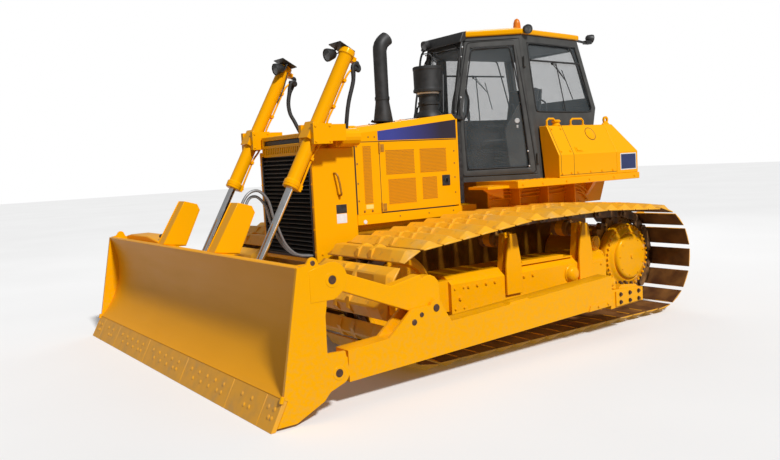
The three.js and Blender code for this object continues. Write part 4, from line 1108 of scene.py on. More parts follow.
def makeBladeFittings():
    bm = bmesh.new()
    rings = bmesh.new()
    for side, hand in sides:
        for x, z, radius in ((4.030, 0.912, 0.029), (4.015, 0.285, 0.027), (4.168, 1.037, 0.018)):
            pinFace(bm, x, bladeShape["halfWidth"] + (0.002 if z < 1.0 else -0.003), z, hand, radius)
        # lifting ear on top of each end plate
        ear = [(4.250, 0.985)] + arc(4.168, 1.037, 0.038, 20, 170, 8) + [(4.105, 0.985)]
        flankInto(rings, hand, ear, 2.034, 2.053)
        lobe = [(4.200, 0.990)] + arc(4.030, 0.912, 0.118, 78, 222, 12) + [(4.020, 0.780), (4.200, 0.780)]
        flankInto(rings, hand, lobe, 2.040, 2.0580)
        # washers under the pin ends
        for x, z, radius in ((4.030, 0.912, 0.052), (4.015, 0.285, 0.048)):
            spunInto(
                rings, [(-0.004, radius * 0.6), (-0.004, radius), (0.002, radius), (0.002, radius * 0.6)],
                place(x, hand * (bladeShape["halfWidth"] + (0.002 if z > 0.9 else 0)), z), (0, hand, 0),
                28,
            )
        # rounded bead down the blade's corner
        roundInto(rings, place(4.437, hand * 2.046, 0.215), place(4.452, hand * 2.046, 0.172), 0.016, 12)
    finishPiece("blade_pin_ends", bm, "blade_group", pinBrown)
    finishPiece("blade_ears", bm=rings, body="blade_group", material=paint, bevel=0.002)
    # hollow top rail with its sloped end on the far side, and a hose union there
    bm = bmesh.new()
    outline = [(-1.96, 0.99), (-1.96, 1.028), (-1.82, 1.048), (-1.30, 1.052), (-0.98, 1.012), (-0.98, 0.99)]
    plateInto(bm, [place(3.93, y, z) for y, z in outline], (0.20, 0, 0))
    finishPiece("blade_top_rail", bm, "blade_group", paint, 0.012)
    bm = bmesh.new()
    spunInto(
        bm, [(-0.035, 0), (-0.035, 0.030), (0.028, 0.036), (0.035, 0.028), (0.035, 0)],
        place(4.06, -1.02, 1.045), (0.3, 0, 1), 24,
    )
    finishPiece("blade_hose_union", bm, "blade_group", darkBolt)
    # stiffening flanges and weld beads on the two rod guards
    bm = bmesh.new()
    for side, hand in sides:
        for edgeY in (0.58 - 0.074, 0.58 + 0.074):
            bead = [(4.243, 1.020), (4.013, 1.398), (3.897, 1.364), (3.876, 1.312), (4.030, 0.992)]
            trim = [(x + 0.004, z + 0.004) for x, z in bead]
            y = hand * edgeY
            sidePlateInto(bm, trim, y - 0.004, y + 0.004)
    finishPiece("rod_guard_flanges", bm, "blade_group", paint, 0.003)


armLine = {
    "outer": 1.980,
    "front": (4.015, 0.285),
    "rear": (1.100, 0.424),
    "halfDepth": 0.129,
    "taper": 0.007,
}


def makeArmFittings(side, hand, line=armLine):
    out = Vector((0, hand, 0))
    outer, half, taper = line["outer"], line["halfDepth"], line["taper"]
    (frontX, frontZ), (rearX, rearZ) = line["front"], line["rear"]
    bm = bmesh.new()
    # bolted keeper plates: top pad, lower pad, rear lug and the cap over the ball
    y0, y1 = sorted((hand * 1.905, hand * 1.972))
    slope = (frontZ - rearZ) / (frontX - rearX)
    top = lambda x: rearZ + (x - rearX) * slope + half - taper * (x - rearX)
    bottom = lambda x: rearZ + (x - rearX) * slope - half + taper * (x - rearX)
    sidePlateInto(
        bm,
        [
            (2.12, top(2.12) - 0.004), (2.36, top(2.36) - 0.004), (2.34, top(2.34) + 0.014),
            (2.16, top(2.16) + 0.014),
        ],
        y0, y1,
    )
    y0, y1 = sorted((hand * (outer - 0.004), hand * (outer + 0.010)))
    sidePlateInto(
        bm,
        [
            (1.115, bottom(1.115) - 0.004), (1.42, bottom(1.42) - 0.004), (1.40, bottom(1.40) + 0.045),
            (1.115, bottom(1.115) + 0.045),
        ],
        y0, y1,
    )
    for x in (1.17, 1.30):
        boltInto(bm, place(x, hand * (outer + 0.010), bottom(x) + 0.022), out, 0.010, 0.010)
    flankInto(
        bm, hand, [(1.10, 0.44)] + arc(1.055, 0.485, 0.046, -30, 200, 10) + [(1.01, 0.42)], 1.85, 1.95,
    )
    spunInto(
        bm, [(-0.01, 0), (-0.01, 0.030), (0.010, 0.030), (0.014, 0.022), (0.014, 0)],
        place(1.055, hand * 1.95, 0.485), out, 20,
    )
    flankInto(
        bm, hand, [(0.69, 0.285), (1.06, 0.270), (1.06, 0.405), (0.72, 0.388)], outer - 0.01,
        outer + 0.012,
    )
    flankInto(bm, hand, [(0.70, 0.400), (0.98, 0.418), (0.94, 0.452), (0.74, 0.432)], 1.84, 1.96)
    finishPiece(f"{side}_arm_pads", bm, "blade_group", paint, 0.004)
    bm = bmesh.new()
    for x in (0.745, 0.87, 1.00):
        for z in (0.305, 0.375):
            boltInto(bm, place(x, hand * (outer + 0.012), z), out, 0.014, 0.016)
    for x in (0.77, 0.84, 0.91):
        for y in (1.865, 1.935):
            boltInto(bm, place(x, hand * y, 0.438 + 0.09 * (x - 0.80)), up, 0.014, 0.020)
    finishPiece(f"{side}_arm_cap_bolts", bm, "blade_group", pinBrown)
    bm = bmesh.new()
    # pin ends and the three dark plug holes of the brace bracket
    for x, z, radius in ((3.105, 0.575, 0.028), (3.314, 0.500, 0.022), (3.244, 0.545, 0.018)):
        pinFace(bm, x, outer, z, hand, radius, 0.006)
    finishPiece(f"{side}_arm_pin_ends", bm, "blade_group", pinBrown)


mouldShape = {
    "low": (4.437, 0.196),
    "high": (4.285, 1.018),
    "sag": 0.135,
    "faces": (-0.004, 0.003),
    "steps": 36,
    "halfWidth": 2.0305,
}


def makeMouldSkin(shape=mouldShape):
    # smooth face on the curved plate, seam to top
    low, high, sag = Vector(shape["low"]), Vector(shape["high"]), shape["sag"]
    chord = high - low
    radius = (chord.length ** 2 / 4 + sag * sag) / (2 * sag)
    ahead = Vector((chord.y, -chord.x)).normalized()
    centre = low.lerp(high, 0.5) + ahead * (radius - sag)
    half = math.asin(chord.length / 2 / radius)
    outline = []
    for face in shape["faces"]:
        row = []
        for k in range(shape["steps"] + 1):
            turn = -half + 2 * half * k / shape["steps"]
            reach = radius - face
            spot = centre - ahead * reach * math.cos(turn) + chord.normalized() * reach * math.sin(turn)
            row.append((spot.x, spot.y))
        outline += row if face < 0 else row[::-1]
    bm = bmesh.new()
    sidePlateInto(bm, outline, -shape["halfWidth"], shape["halfWidth"])
    finishPiece("mouldboard_face", bm, "blade_group", bladePaint)


def makeTiltHoses():
    # steel-braided hoses of the tilt cylinder, from the hull's nose over to the blade
    for k, y in enumerate((0.37, 0.42)):
        spread = 0.05 * k
        points = [
            place(3.19, y, 0.86), place(3.42, y, 0.92), place(3.58, y, 1.16 + spread),
            place(3.66, y, 1.38 + spread), place(3.75, y, 1.43 + spread),
            place(3.82 + spread, y, 1.36 + spread * 0.5), place(3.87 + spread * 0.6, y, 1.18),
            place(4.02, y - 0.01, 1.005),
        ]
        hose = tube(f"tilt_hose_{k + 1}", points, 0.0125, None, braid)
        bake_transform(hose)


# dark brown; on the pin ends and plug holes it is painted shade of the bores
pinBrown = speckled(
    "pin_end_brown", "cutting_edge_steel", (0.035, 0.012, 0.004), (0.09, 0.035, 0.01), 40.0, (0.4, 0.6),
)
braid = speckled("hose_braid", "rod_chrome", grey(0.16), grey(0.36), 160.0, (0.35, 0.5), 0.5, 400.0, 0.3)
makeCuttingEdge()
makeBladeFittings()
for side, hand in sides:
    makeArmFittings(side, hand)
makeMouldSkin()
makeTiltHoses()
print("blade and arms fitted out")


# radiator guard, grille, hood and engine doors

grilleShape = {
    "halfWidth": 0.459,
    "bottom": 0.841,
    "louvreTop": 1.762,
    "louvres": 23,
    "bandTop": 1.874,
    "bandHalf": 0.398,
    "slots": 22,
    "front": 3.2295,
}


def makeGrille(shape=grilleShape):
    front, half = shape["front"], shape["halfWidth"]
    bm = bmesh.new()
    first = shape["bottom"] + 0.03
    pitch = (shape["louvreTop"] - first) / shape["louvres"]
    for k in range(shape["louvres"]):
        z = first + k * pitch
        blade = [
            (front - 0.003, z), (front, z + 0.005), (front - 0.046, z + pitch * 0.86),
            (front - 0.049, z + pitch * 0.80),
        ]
        sidePlateInto(bm, blade, -half + 0.02, half - 0.02)
    boxInto(
        bm, place(front - 0.056, -half, shape["bottom"]),
        place(front - 0.050, half, shape["louvreTop"] + 0.02),
    )
    for y in (-half, half - 0.022):
        boxInto(
            bm, place(front - 0.05, y, shape["bottom"]),
            place(front + 0.001, y + 0.022, shape["louvreTop"] + 0.006),
        )
    boxInto(
        bm, place(front - 0.05, -half, shape["bottom"]),
        place(front + 0.001, half, shape["bottom"] + 0.024),
    )
    boxInto(bm, place(front - 0.05, -0.398, shape["louvreTop"]), place(front - 0.02, 0.398, 1.915))
    louvres = finishPiece("grille_louvres", bm, "root", grilleBlack, 0.0015, 1)
    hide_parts("radiator_grille")
    # slotted header over the louvres
    bm = bmesh.new()
    low, high, half = shape["louvreTop"] + 0.004, shape["bandTop"], shape["bandHalf"]
    for z0, z1 in ((low, low + 0.026), (high - 0.026, high)):
        boxInto(bm, place(front - 0.012, -half, z0), place(front + 0.003, half, z1))
    width = 2 * half / shape["slots"]
    for k in range(shape["slots"] + 1):
        y = -half + k * width
        boxInto(
            bm, place(front - 0.012, max(-half, y - width * 0.28), low + 0.02),
            place(front + 0.0028, min(half, y + width * 0.28), high - 0.02),
        )
    finishPiece("grille_header", bm, "root", paint, 0.002, 1)


hoodLine = {
    "half": 0.500, "seam": 1.858, "front": 2.780, "rear": 1.560, "topFront": 1.985, "topRear": 2.110,
    "shoulder": 0.055,
}


def hoodEdgeAt(x, line=hoodLine):
    # height of the hood's side where it starts to turn over
    share = (x - line["rear"]) / (line["front"] - line["rear"])
    return line["topRear"] + (line["topFront"] - line["topRear"]) * share - line["shoulder"]


meshPanels = {
    "door": (
        (2.437, 1.775, 2.099, 1.544), (2.035, 1.776, 1.699, 1.544), (2.420, 1.505, 2.092, 1.265),
        (2.016, 1.502, 1.830, 1.286),
    ),
    "front": ((2.692, 1.820, 2.597, 1.290),), "pitch": 0.0155, "hole": 0.0047,
}


def sideStrip(bm, hand, x0, x1, z0, z1, proud=0.0012, face=0.5):
    y0, y1 = sorted((hand * (face - 0.001), hand * (face + proud)))
    boxInto(bm, place(x1, y0, z0), place(x0, y1, z1))


def makeMeshPanels(side, hand, body, panels, name, look=meshPanels):
    # the sheets take a darker copy of the enamel: painted shade
    bm = bmesh.new()
    for x1, z1, x0, z0 in panels:
        sideStrip(bm, hand, x0, x1, z0, z1, 0.0016)
    finishPiece(f"{side}_{name}_sheet", bm, body, sheetShadePaint, 0.0008, 1)
    # the holes are dark brown discs: painted shade seen through the perforations
    bm = bmesh.new()
    hole = bmesh.new()
    start = Vector((0, 0, 0))
    roundInto(hole, start, start + Vector((0, hand * 0.0016, 0)), look["hole"], 6)
    turns = []
    for x1, z1, x0, z0 in panels:
        columns = int((x1 - x0 - 0.012) / look["pitch"])
        rows = int((z1 - z0 - 0.012) / (look["pitch"] * 0.87))
        for row in range(rows + 1):
            for column in range(columns + 1 - row % 2):
                x = (x0 + x1) / 2 + (column - columns / 2 + 0.5 * (row % 2)) * look["pitch"]
                z = (z0 + z1) / 2 + (row - rows / 2) * look["pitch"] * 0.87
                turns.append(Matrix.Translation(place(x, hand * 0.5008, z)))
    repeatInto(bm, hole, turns)
    finishPiece(f"{side}_{name}_holes", bm, body, holeShade)


def makeHoodSide(side, hand, line=hoodLine):
    cover = f"{side}_engine_cover"
    out = Vector((0, hand, 0))
    makeMeshPanels(side, hand, cover, meshPanels["door"], "door_mesh")
    makeMeshPanels(side, hand, "root", meshPanels["front"], "panel_mesh")
    # plain two-tone band along the hood's side
    bm = bmesh.new()
    flankInto(
        bm, hand,
        [
            (2.514, 1.866), (2.514, hoodEdgeAt(2.514) - 0.006), (1.563, hoodEdgeAt(1.563) - 0.006),
            (1.563, 1.866),
        ],
        line["half"] - 0.001, line["half"] + 0.0013,
    )
    finishPiece(f"{side}_hood_band", bm, "root", bandFilm)
    # shadow gaps: guard to side panel, hood to doors, under and behind the door
    bm = bmesh.new()
    sideStrip(bm, hand, 2.772, 2.786, 1.20, 1.952, 0.0022)
    sideStrip(bm, hand, 1.562, 2.774, 1.8535, 1.8592, 0.0009)
    sideStrip(bm, hand, 2.502, 2.508, 1.205, 1.852, 0.0009)
    sideStrip(bm, hand, 1.62, 2.49, 1.1925, 1.2015, 0.0016)
    finishPiece(f"{side}_hood_gaps", bm, "root", gapShade)
    # tiny bolts at the panels' edges
    bm = bmesh.new()
    for z in (1.82, 1.66, 1.48, 1.32):
        boltInto(bm, place(2.755, hand * line["half"], z), out, 0.007, 0.006)
    for x in (2.700, 2.612):
        boltInto(bm, place(x, hand * line["half"], 1.222), out, 0.009, 0.008)
    for x, z in ((2.74, 1.90), (2.62, 1.90), (2.55, 1.90), (1.64, 1.15), (1.95, 1.15), (2.30, 1.15)):
        boltInto(bm, place(x, hand * line["half"], z), out, 0.006, 0.005)
    for z in (1.795, 1.245):
        roundInto(
            bm, place(2.506, hand * 0.505, z - 0.045), place(2.506, hand * 0.505, z + 0.045), 0.008, 16,
        )
    finishPiece(f"{side}_panel_bolts", bm, "root", bronze)
    bm = bmesh.new()
    for z in (1.74, 1.62, 1.48, 1.33):
        boltInto(bm, place(1.600, hand * line["half"], z), out, 0.007, 0.006)
    # hinge leaves at the door's front edge
    for z in (1.795, 1.245):
        sideStrip(bm, hand, 2.450, 2.488, z - 0.035, z + 0.035, 0.004)
    finishPiece(f"{side}_door_hinges", bm, cover, bronze, 0.001, 1)
    # flush latch: rounded black tray with its paddle
    bm = bmesh.new()
    sideStrip(bm, hand, 1.668, 1.766, 1.404, 1.508, 0.008)
    finishPiece(f"{side}_latch_tray", bm, cover, lampBlack, 0.007, 4)
    bm = bmesh.new()
    spunInto(
        bm, [(0, 0), (0, 0.024), (0.008, 0.024), (0.010, 0.018), (0.010, 0)],
        place(1.717, hand * 0.505, 1.456), out, 24,
    )
    boxInto(bm, place(1.705, hand * 0.512 - 0.003, 1.434), place(1.729, hand * 0.512 + 0.003, 1.478))
    finishPiece(f"{side}_latch_paddle", bm, cover, darkBolt, 0.0015, 1)
    # blank plates and the small round plug on the sill
    bm = bmesh.new()
    sideStrip(bm, hand, 2.600, 2.680, 1.243, 1.280, 0.0012)
    finishPiece(f"{side}_pale_tab", bm, "root", paleYellow)
    bm = bmesh.new()
    sideStrip(bm, hand, 2.894, 3.004, 1.226, 1.305, 0.0014)
    finishPiece(f"{side}_guard_plate_dark", bm, "root", darkBolt)
    bm = bmesh.new()
    sideStrip(bm, hand, 2.898, 3.004, 1.138, 1.222, 0.0014)
    spunInto(bm, [(0, 0), (0, 0.019), (0.004, 0.018), (0.006, 0)], place(2.70, hand * 0.5, 1.125), out, 20)
    finishPiece(f"{side}_guard_plate_pale", bm, "root", palePlastic)
    # grab handle on the guard
    grip = [
        place(3.012, hand * 0.500, 1.588), place(3.006, hand * 0.538, 1.580),
        place(2.994, hand * 0.552, 1.530), place(2.978, hand * 0.552, 1.440),
        place(2.966, hand * 0.538, 1.396), place(2.960, hand * 0.500, 1.388),
    ]
    tube(f"{side}_guard_handle", grip, 0.0095, "root", bronze)
    # bolts round the guard's front edge
    bm = bmesh.new()
    for z in (0.90, 1.10, 1.30, 1.50, 1.70):
        boltInto(bm, place(3.230, hand * 0.480, z), (1, 0, 0), 0.008, 0.007)
    for z in (0.88, 1.78):
        boltInto(bm, place(3.17, hand * 0.5, z), out, 0.010, 0.009)
    finishPiece(f"{side}_guard_bolts", bm, "root", paint)


def makeHoodTop(line=hoodLine):
    # rolled beads along the hood's top, a centre panel and its screws
    bm = bmesh.new()
    slope = (line["topFront"] - line["topRear"]) / (line["front"] - line["rear"])
    top = lambda x: line["topRear"] + slope * (x - line["rear"])
    sidePlateInto(
        bm,
        [
            (1.80, top(1.80) - 0.002), (2.72, top(2.72) - 0.002), (2.72, top(2.72) + 0.005),
            (1.80, top(1.80) + 0.005),
        ],
        -0.22, -0.02,
    )
    for x in (1.84, 2.12, 2.40, 2.68):
        for y in (-0.20, -0.04):
            boltInto(bm, place(x, y, top(x) + 0.005), up, 0.008, 0.007)
    finishPiece("hood_centre_panel", bm, "root", paint, 0.002)
    bm = bmesh.new()
    # radiator cap cover near the front
    cap = place(2.66, 0.26, top(2.66))
    spunInto(
        bm, [(-0.01, 0), (-0.01, 0.062), (0.010, 0.062), (0.014, 0.056), (0.020, 0.052), (0.022, 0)], cap,
        up, 32,
    )
    finishPiece("radiator_cap_cover", bm, "root", paint, 0.001, 1)


def loftInto(bm, rings, segments=32):
    # a closed skin over rings of (centre, direction, radius)
    loops = []
    for centre, direction, radius in rings:
        turn = Matrix.Translation(Vector(centre)) @ turnTo(direction)
        made = bmesh.ops.create_circle(bm, cap_ends=False, segments=segments, radius=radius, matrix=turn)
        loops.append({edge for vert in made["verts"] for edge in vert.link_edges})
    for first, second in zip(loops, loops[1:]):
        bmesh.ops.bridge_loops(bm, edges=list(first | second))
    bmesh.ops.holes_fill(bm, edges=[edge for edge in bm.edges if edge.is_boundary], sides=0)


stackShape = {
    "x": 2.160, "y": 0.110, "radius": 0.068, "foot": 0.096, "base": 2.059, "straight": 0.690, "tip": 0.130,
}


def makeExhaust(shape=stackShape):
    x, y, base, r = shape["x"], shape["y"], shape["base"], shape["radius"]
    rise = [
        (0.0, shape["foot"]), (0.012, shape["foot"]), (0.10, 0.083), (0.185, r + 0.002), (0.22, r),
        (shape["straight"], r),
    ]
    rings = [(place(x, y, base + z), up, radius) for z, radius in rise]
    knee = base + shape["straight"]
    bend = [
        (0.004, 0.030, 14), (0.016, 0.062, 30), (0.036, 0.088, 44), (0.062, 0.110, 52), (0.090, 0.128, 54),
    ]
    for back, z, lean in bend:
        tilt = math.radians(lean)
        rings.append((place(x - back, y, knee + z), (-math.sin(tilt), 0, math.cos(tilt)), r * 1.04))
    inner = [(centre, direction, radius - 0.004) for centre, direction, radius in reversed(rings[-5:])]
    bm = bmesh.new()
    loftInto(bm, rings + inner, 36)
    spunInto(
        bm, [(0.215, r + 0.001), (0.215, r + 0.006), (0.245, r + 0.006), (0.245, r + 0.001)],
        place(x, y, base), up, 36,
    )
    pipe = finishPiece("exhaust_pipe", bm, "root", exhaustBlack)
    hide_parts("exhaust_stack")
    bm = bmesh.new()
    spunInto(
        bm, [(0, 0), (0, 0.125), (0.008, 0.125), (0.010, 0.118), (0.012, 0)], place(x, y, base - 0.004),
        (-0.1, 0, 1), 36,
    )
    ringOfBolts(bm, place(x, y, base + 0.006), (-0.1, 0, 1), 0.109, 6, 0.008, 0.010)
    finishPiece("exhaust_flange", bm, "root", exhaustBlack)


precleanerShape = {
    "at": (1.625, 0.170, 2.098),
    "neck": [
        (0, 0), (0, 0.142), (0.018, 0.138), (0.050, 0.112), (0.066, 0.100), (0.120, 0.098), (0.124, 0.108),
        (0.152, 0.108), (0.156, 0.098), (0.205, 0.098), (0.209, 0.106), (0.228, 0.106), (0.230, 0.100),
        (0.232, 0),
    ],
    "seal": [(0.231, 0), (0.231, 0.110), (0.247, 0.114), (0.248, 0)],
    "bowl": [
        (0.247, 0), (0.247, 0.132), (0.252, 0.149), (0.276, 0.151), (0.282, 0.144), (0.300, 0.141),
        (0.468, 0.143), (0.474, 0.147), (0.500, 0.147), (0.508, 0.140), (0.511, 0.120), (0.511, 0),
    ],
    "hoop": [
        (0.062, 0.51), (0.060, 0.585), (0.040, 0.628), (0, 0.640), (-0.040, 0.628), (-0.060, 0.585),
        (-0.062, 0.51),
    ],
    "hoopTurn": (0.8, -0.6),
    "hoopWire": 0.0055,
    "clampHeight": 0.138,
    "clamp": ((0.09, 0.04), (0.125, 0.06)),
}


def makePrecleaner(shape=precleanerShape):
    x, y, base = shape["at"]
    at = place(x, y, base)
    bm = bmesh.new()
    spunInto(bm, shape["neck"], at, up, 40)
    ends = [place(x + dx, y + dy, base + shape["clampHeight"]) for dx, dy in shape["clamp"]]
    roundInto(bm, *ends, 0.009, 10)
    finishPiece("precleaner_neck", bm, "root", exhaustBlack)
    bm = bmesh.new()
    spunInto(bm, shape["seal"], at, up, 40)
    finishPiece("precleaner_seal", bm, "root", palePlastic)
    bm = bmesh.new()
    spunInto(bm, shape["bowl"], at, up, 48)
    bowl = finishPiece("precleaner_bowl", bm, "root", exhaustBlack, 0.001, 1)
    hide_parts("air_precleaner")
    turnX, turnY = shape["hoopTurn"]
    points = [place(x + turnX * along, y + turnY * along, base + z) for along, z in shape["hoop"]]
    tube("precleaner_hoop", points, shape["hoopWire"], "root", darkBolt)


def bandColour():
    # navy at the front end of the band, nearly black at the rear
    material, tree, shader, where = newMaterial("hood_band_film", "yellow_paint")
    split = tree.nodes.new("ShaderNodeSeparateXYZ")
    tree.links.new(where, split.inputs["Vector"])
    spread = tree.nodes.new("ShaderNodeMapRange")
    spread.inputs["From Min"].default_value = place(1.75, 0, 0).x
    spread.inputs["From Max"].default_value = place(2.35, 0, 0).x
    tree.links.new(split.outputs["X"], spread.inputs["Value"])
    tree.links.new(
        ramp(tree, spread.outputs["Result"], [(0.0, (0.020, 0.012, 0.022)), (1.0, (0.035, 0.045, 0.26))]),
        shader.inputs["Base Color"],
    )
    roughnessFrom(tree, shader, noiseAt(tree, where, 8.0), 0.25, 0.36)
    return material


# painted shade: a darker copy of the enamel for the perforated sheets
sheetShadePaint = enamel(
    "mesh_sheet_painted_shade", look={**enamelLook, "fresh": (0.74, 0.285, 0.0), "shade": (0.70, 0.265, 0.0)},
)
# painted shade seen through the perforations
holeShade = speckled(
    "mesh_hole_painted_shade", "yellow_paint", (0.20, 0.07, 0.004), (0.30, 0.11, 0.006), 20.0, (0.5, 0.7),
)
# painted shade: near-black strips for the gaps, seams and grooves between panels
gapShade = speckled(
    "gap_painted_shade", "hose_rubber", (0.016, 0.006, 0.002), (0.035, 0.014, 0.004), 20.0, (0.6, 0.8),
)
bronze = speckled(
    "bronze_fitting", "yellow_paint", (0.30, 0.12, 0.006), (0.46, 0.20, 0.01), 30.0, (0.35, 0.5),
)
paleYellow = speckled(
    "pale_yellow_plate", "yellow_paint", (0.86, 0.60, 0.14), (0.90, 0.66, 0.20), 20.0, (0.3, 0.4),
)
bandFilm = bandColour()
makeGrille()
for side, hand in sides:
    makeHoodSide(side, hand)
makeHoodTop()
makeExhaust()
makePrecleaner()
print("guard, hood and stacks fitted out")


# cab: seals, handles, lamps, beacon and what is inside

cabPosts = {
    "front": ((1.360, 0.300), (1.385, 0.300), (1.225, 0.290)),
    "middle": ((0.670, 0.780), (0.717, 0.722), (0.765, 0.665)),
    "rear": ((-0.190, 0.680), (-0.420, 0.620), (-0.230, 0.540)),
    "levels": (1.410, 2.150, 2.900),
}


def postAt(post, z):
    base, knee, eave = cabPosts["levels"]
    low, high, share = (
        0, 1, (z - base) / (knee - base),
    ) if z < knee else (1, 2, (z - knee) / (eave - knee))
    first, last = Vector(cabPosts[post][low]), Vector(cabPosts[post][high])
    return first.lerp(last, share)


def cabSpot(first, second, along, z, proud, hand):
    # a point on the cab's side between two posts, counted from the first, or back from the second
    a, b = postAt(first, z), postAt(second, z)
    if second == "mirror":
        b = Vector((a.x, -a.y))
    run = (b - a).normalized()
    spot = a + run * along if along >= 0 else b + run * along
    outward = Vector((-run.y, run.x)) if first != "rear" else Vector((-1, 0))
    if outward.y < 0 and first == "front":
        outward = -outward
    spot = spot + outward * proud
    return place(spot.x, hand * spot.y, z)


def roundedOutline(corners, radius=0.045, steps=3):
    # softens the corners of a closed outline of (along, z)
    made = []
    for k, corner in enumerate(corners):
        here = Vector(corner)
        before = (Vector(corners[k - 1]) - here).normalized() * radius
        after = (Vector(corners[(k + 1) % len(corners)]) - here).normalized() * radius
        for step in range(steps + 1):
            share = step / steps
            made.append((here + before).lerp(here, share).lerp(here.lerp(here + after, share), share))
    return made


def sealRound(name, posts, outline, proud, radius, body, material, hand):
    span = (postAt(posts[1], 2.15) - postAt(posts[0], 2.15)).length
    points = []
    for along, z in roundedOutline(outline):
        width = (postAt(posts[1], z) - postAt(posts[0], z)).length
        share = along / span
        points.append(cabSpot(posts[0], posts[1], width * share, z, proud, hand))
    return tube(name, points, radius, body, material, cyclic=True)


def makeDoor(side, hand):
    body = f"{side}_door"
    span = (postAt("middle", 2.15) - postAt("front", 2.15)).length
    posts = ("front", "middle")
    window = [(0.085, 1.545), (0.080, 2.06), (0.140, 2.12), (0.140, 2.26), (0.095, 2.36), (0.125, 2.775),
              (span - 0.165, 2.775), (span - 0.100, 2.30), (span - 0.092, 2.15), (span - 0.092, 1.545)]
    sealRound(f"{side}_door_seal", posts, window, -0.003, 0.0075, body, rubber, hand)
    rim = [
        (0.030, 1.478), (0.022, 2.15), (0.062, 2.845), (span - 0.100, 2.845), (span - 0.045, 2.15),
        (span - 0.034, 1.478),
    ]
    sealRound(f"{side}_door_edge", posts, rim, 0.002, 0.0055, body, rubber, hand)
    # inner lock panel at the rear lower corner and the bulge at the handle, behind the glass
    bm = bmesh.new()
    for outline in (
        [(0.076, 2.02), (0.134, 2.11), (0.134, 2.27), (0.082, 2.38)],
        [
            (span - 0.085, 1.52), (span - 0.255, 1.52), (span - 0.285, 1.92), (span - 0.175, 2.10),
            (span - 0.085, 2.27),
        ],
    ):
        inner = [cabSpot(*posts, along, z, -0.046, hand) for along, z in outline]
        outer = [cabSpot(*posts, along, z, -0.026, hand) for along, z in outline]
        front = [bm.verts.new(point) for point in outer]
        back = [bm.verts.new(point) for point in inner]
        bm.faces.new(front)
        bm.faces.new(back[::-1])
        for k in range(len(front)):
            after = (k + 1) % len(front)
            bm.faces.new((front[k], back[k], back[after], front[after]))
    finishPiece(f"{side}_door_panels", bm, body, charcoal, 0.004)
    # long pull handle at the front edge, its studs, and the round lock
    grip = [
        cabSpot(*posts, 0.040, z, lift, hand)
        for z, lift in (
            (2.26, 0.0), (2.255, 0.030), (2.20, 0.044), (2.07, 0.044), (2.015, 0.030), (2.01, 0.0),
        )
    ]
    tube(f"{side}_door_handle", grip, 0.0095, body, darkBolt)
    studs = bmesh.new()
    for along, z in ((0.044, 2.285), (0.036, 1.985), (span - 0.066, 1.70), (span - 0.062, 1.545)):
        spot = cabSpot(*posts, along, z, 0.002, hand)
        bmesh.ops.create_uvsphere(
            studs, u_segments=12, v_segments=8, radius=0.009, matrix=Matrix.Translation(spot),
        )
    finishPiece(f"{side}_door_studs", studs, body, palePlastic)
    bm = bmesh.new()
    outward = (cabSpot(*posts, 0.5, 2.0, 1.0, hand) - cabSpot(*posts, 0.5, 2.0, 0.0, hand)).normalized()
    lock = cabSpot(*posts, span - 0.150, 2.02, -0.026, hand)
    spunInto(
        bm, [(0, 0), (0, 0.026), (0.006, 0.026), (0.008, 0.019), (0.006, 0.017), (0.006, 0)], lock,
        outward, 24,
    )
    boxInto(bm, lock + Vector((-0.012, -0.006, -0.075)), lock + Vector((0.012, 0.006, -0.045)))
    finishPiece(f"{side}_door_lock", bm, body, palePlastic, 0.001, 1)
    # hinges on the rear post
    bm = bmesh.new()
    for z in (1.62, 2.62):
        spot = cabSpot("front", "middle", -0.004, z, 0.010, hand)
        roundInto(bm, spot - up * 0.055, spot + up * 0.055, 0.014, 16)
    finishPiece(f"{side}_door_hinge_barrels", bm, body, charcoal, 0.002, 1)


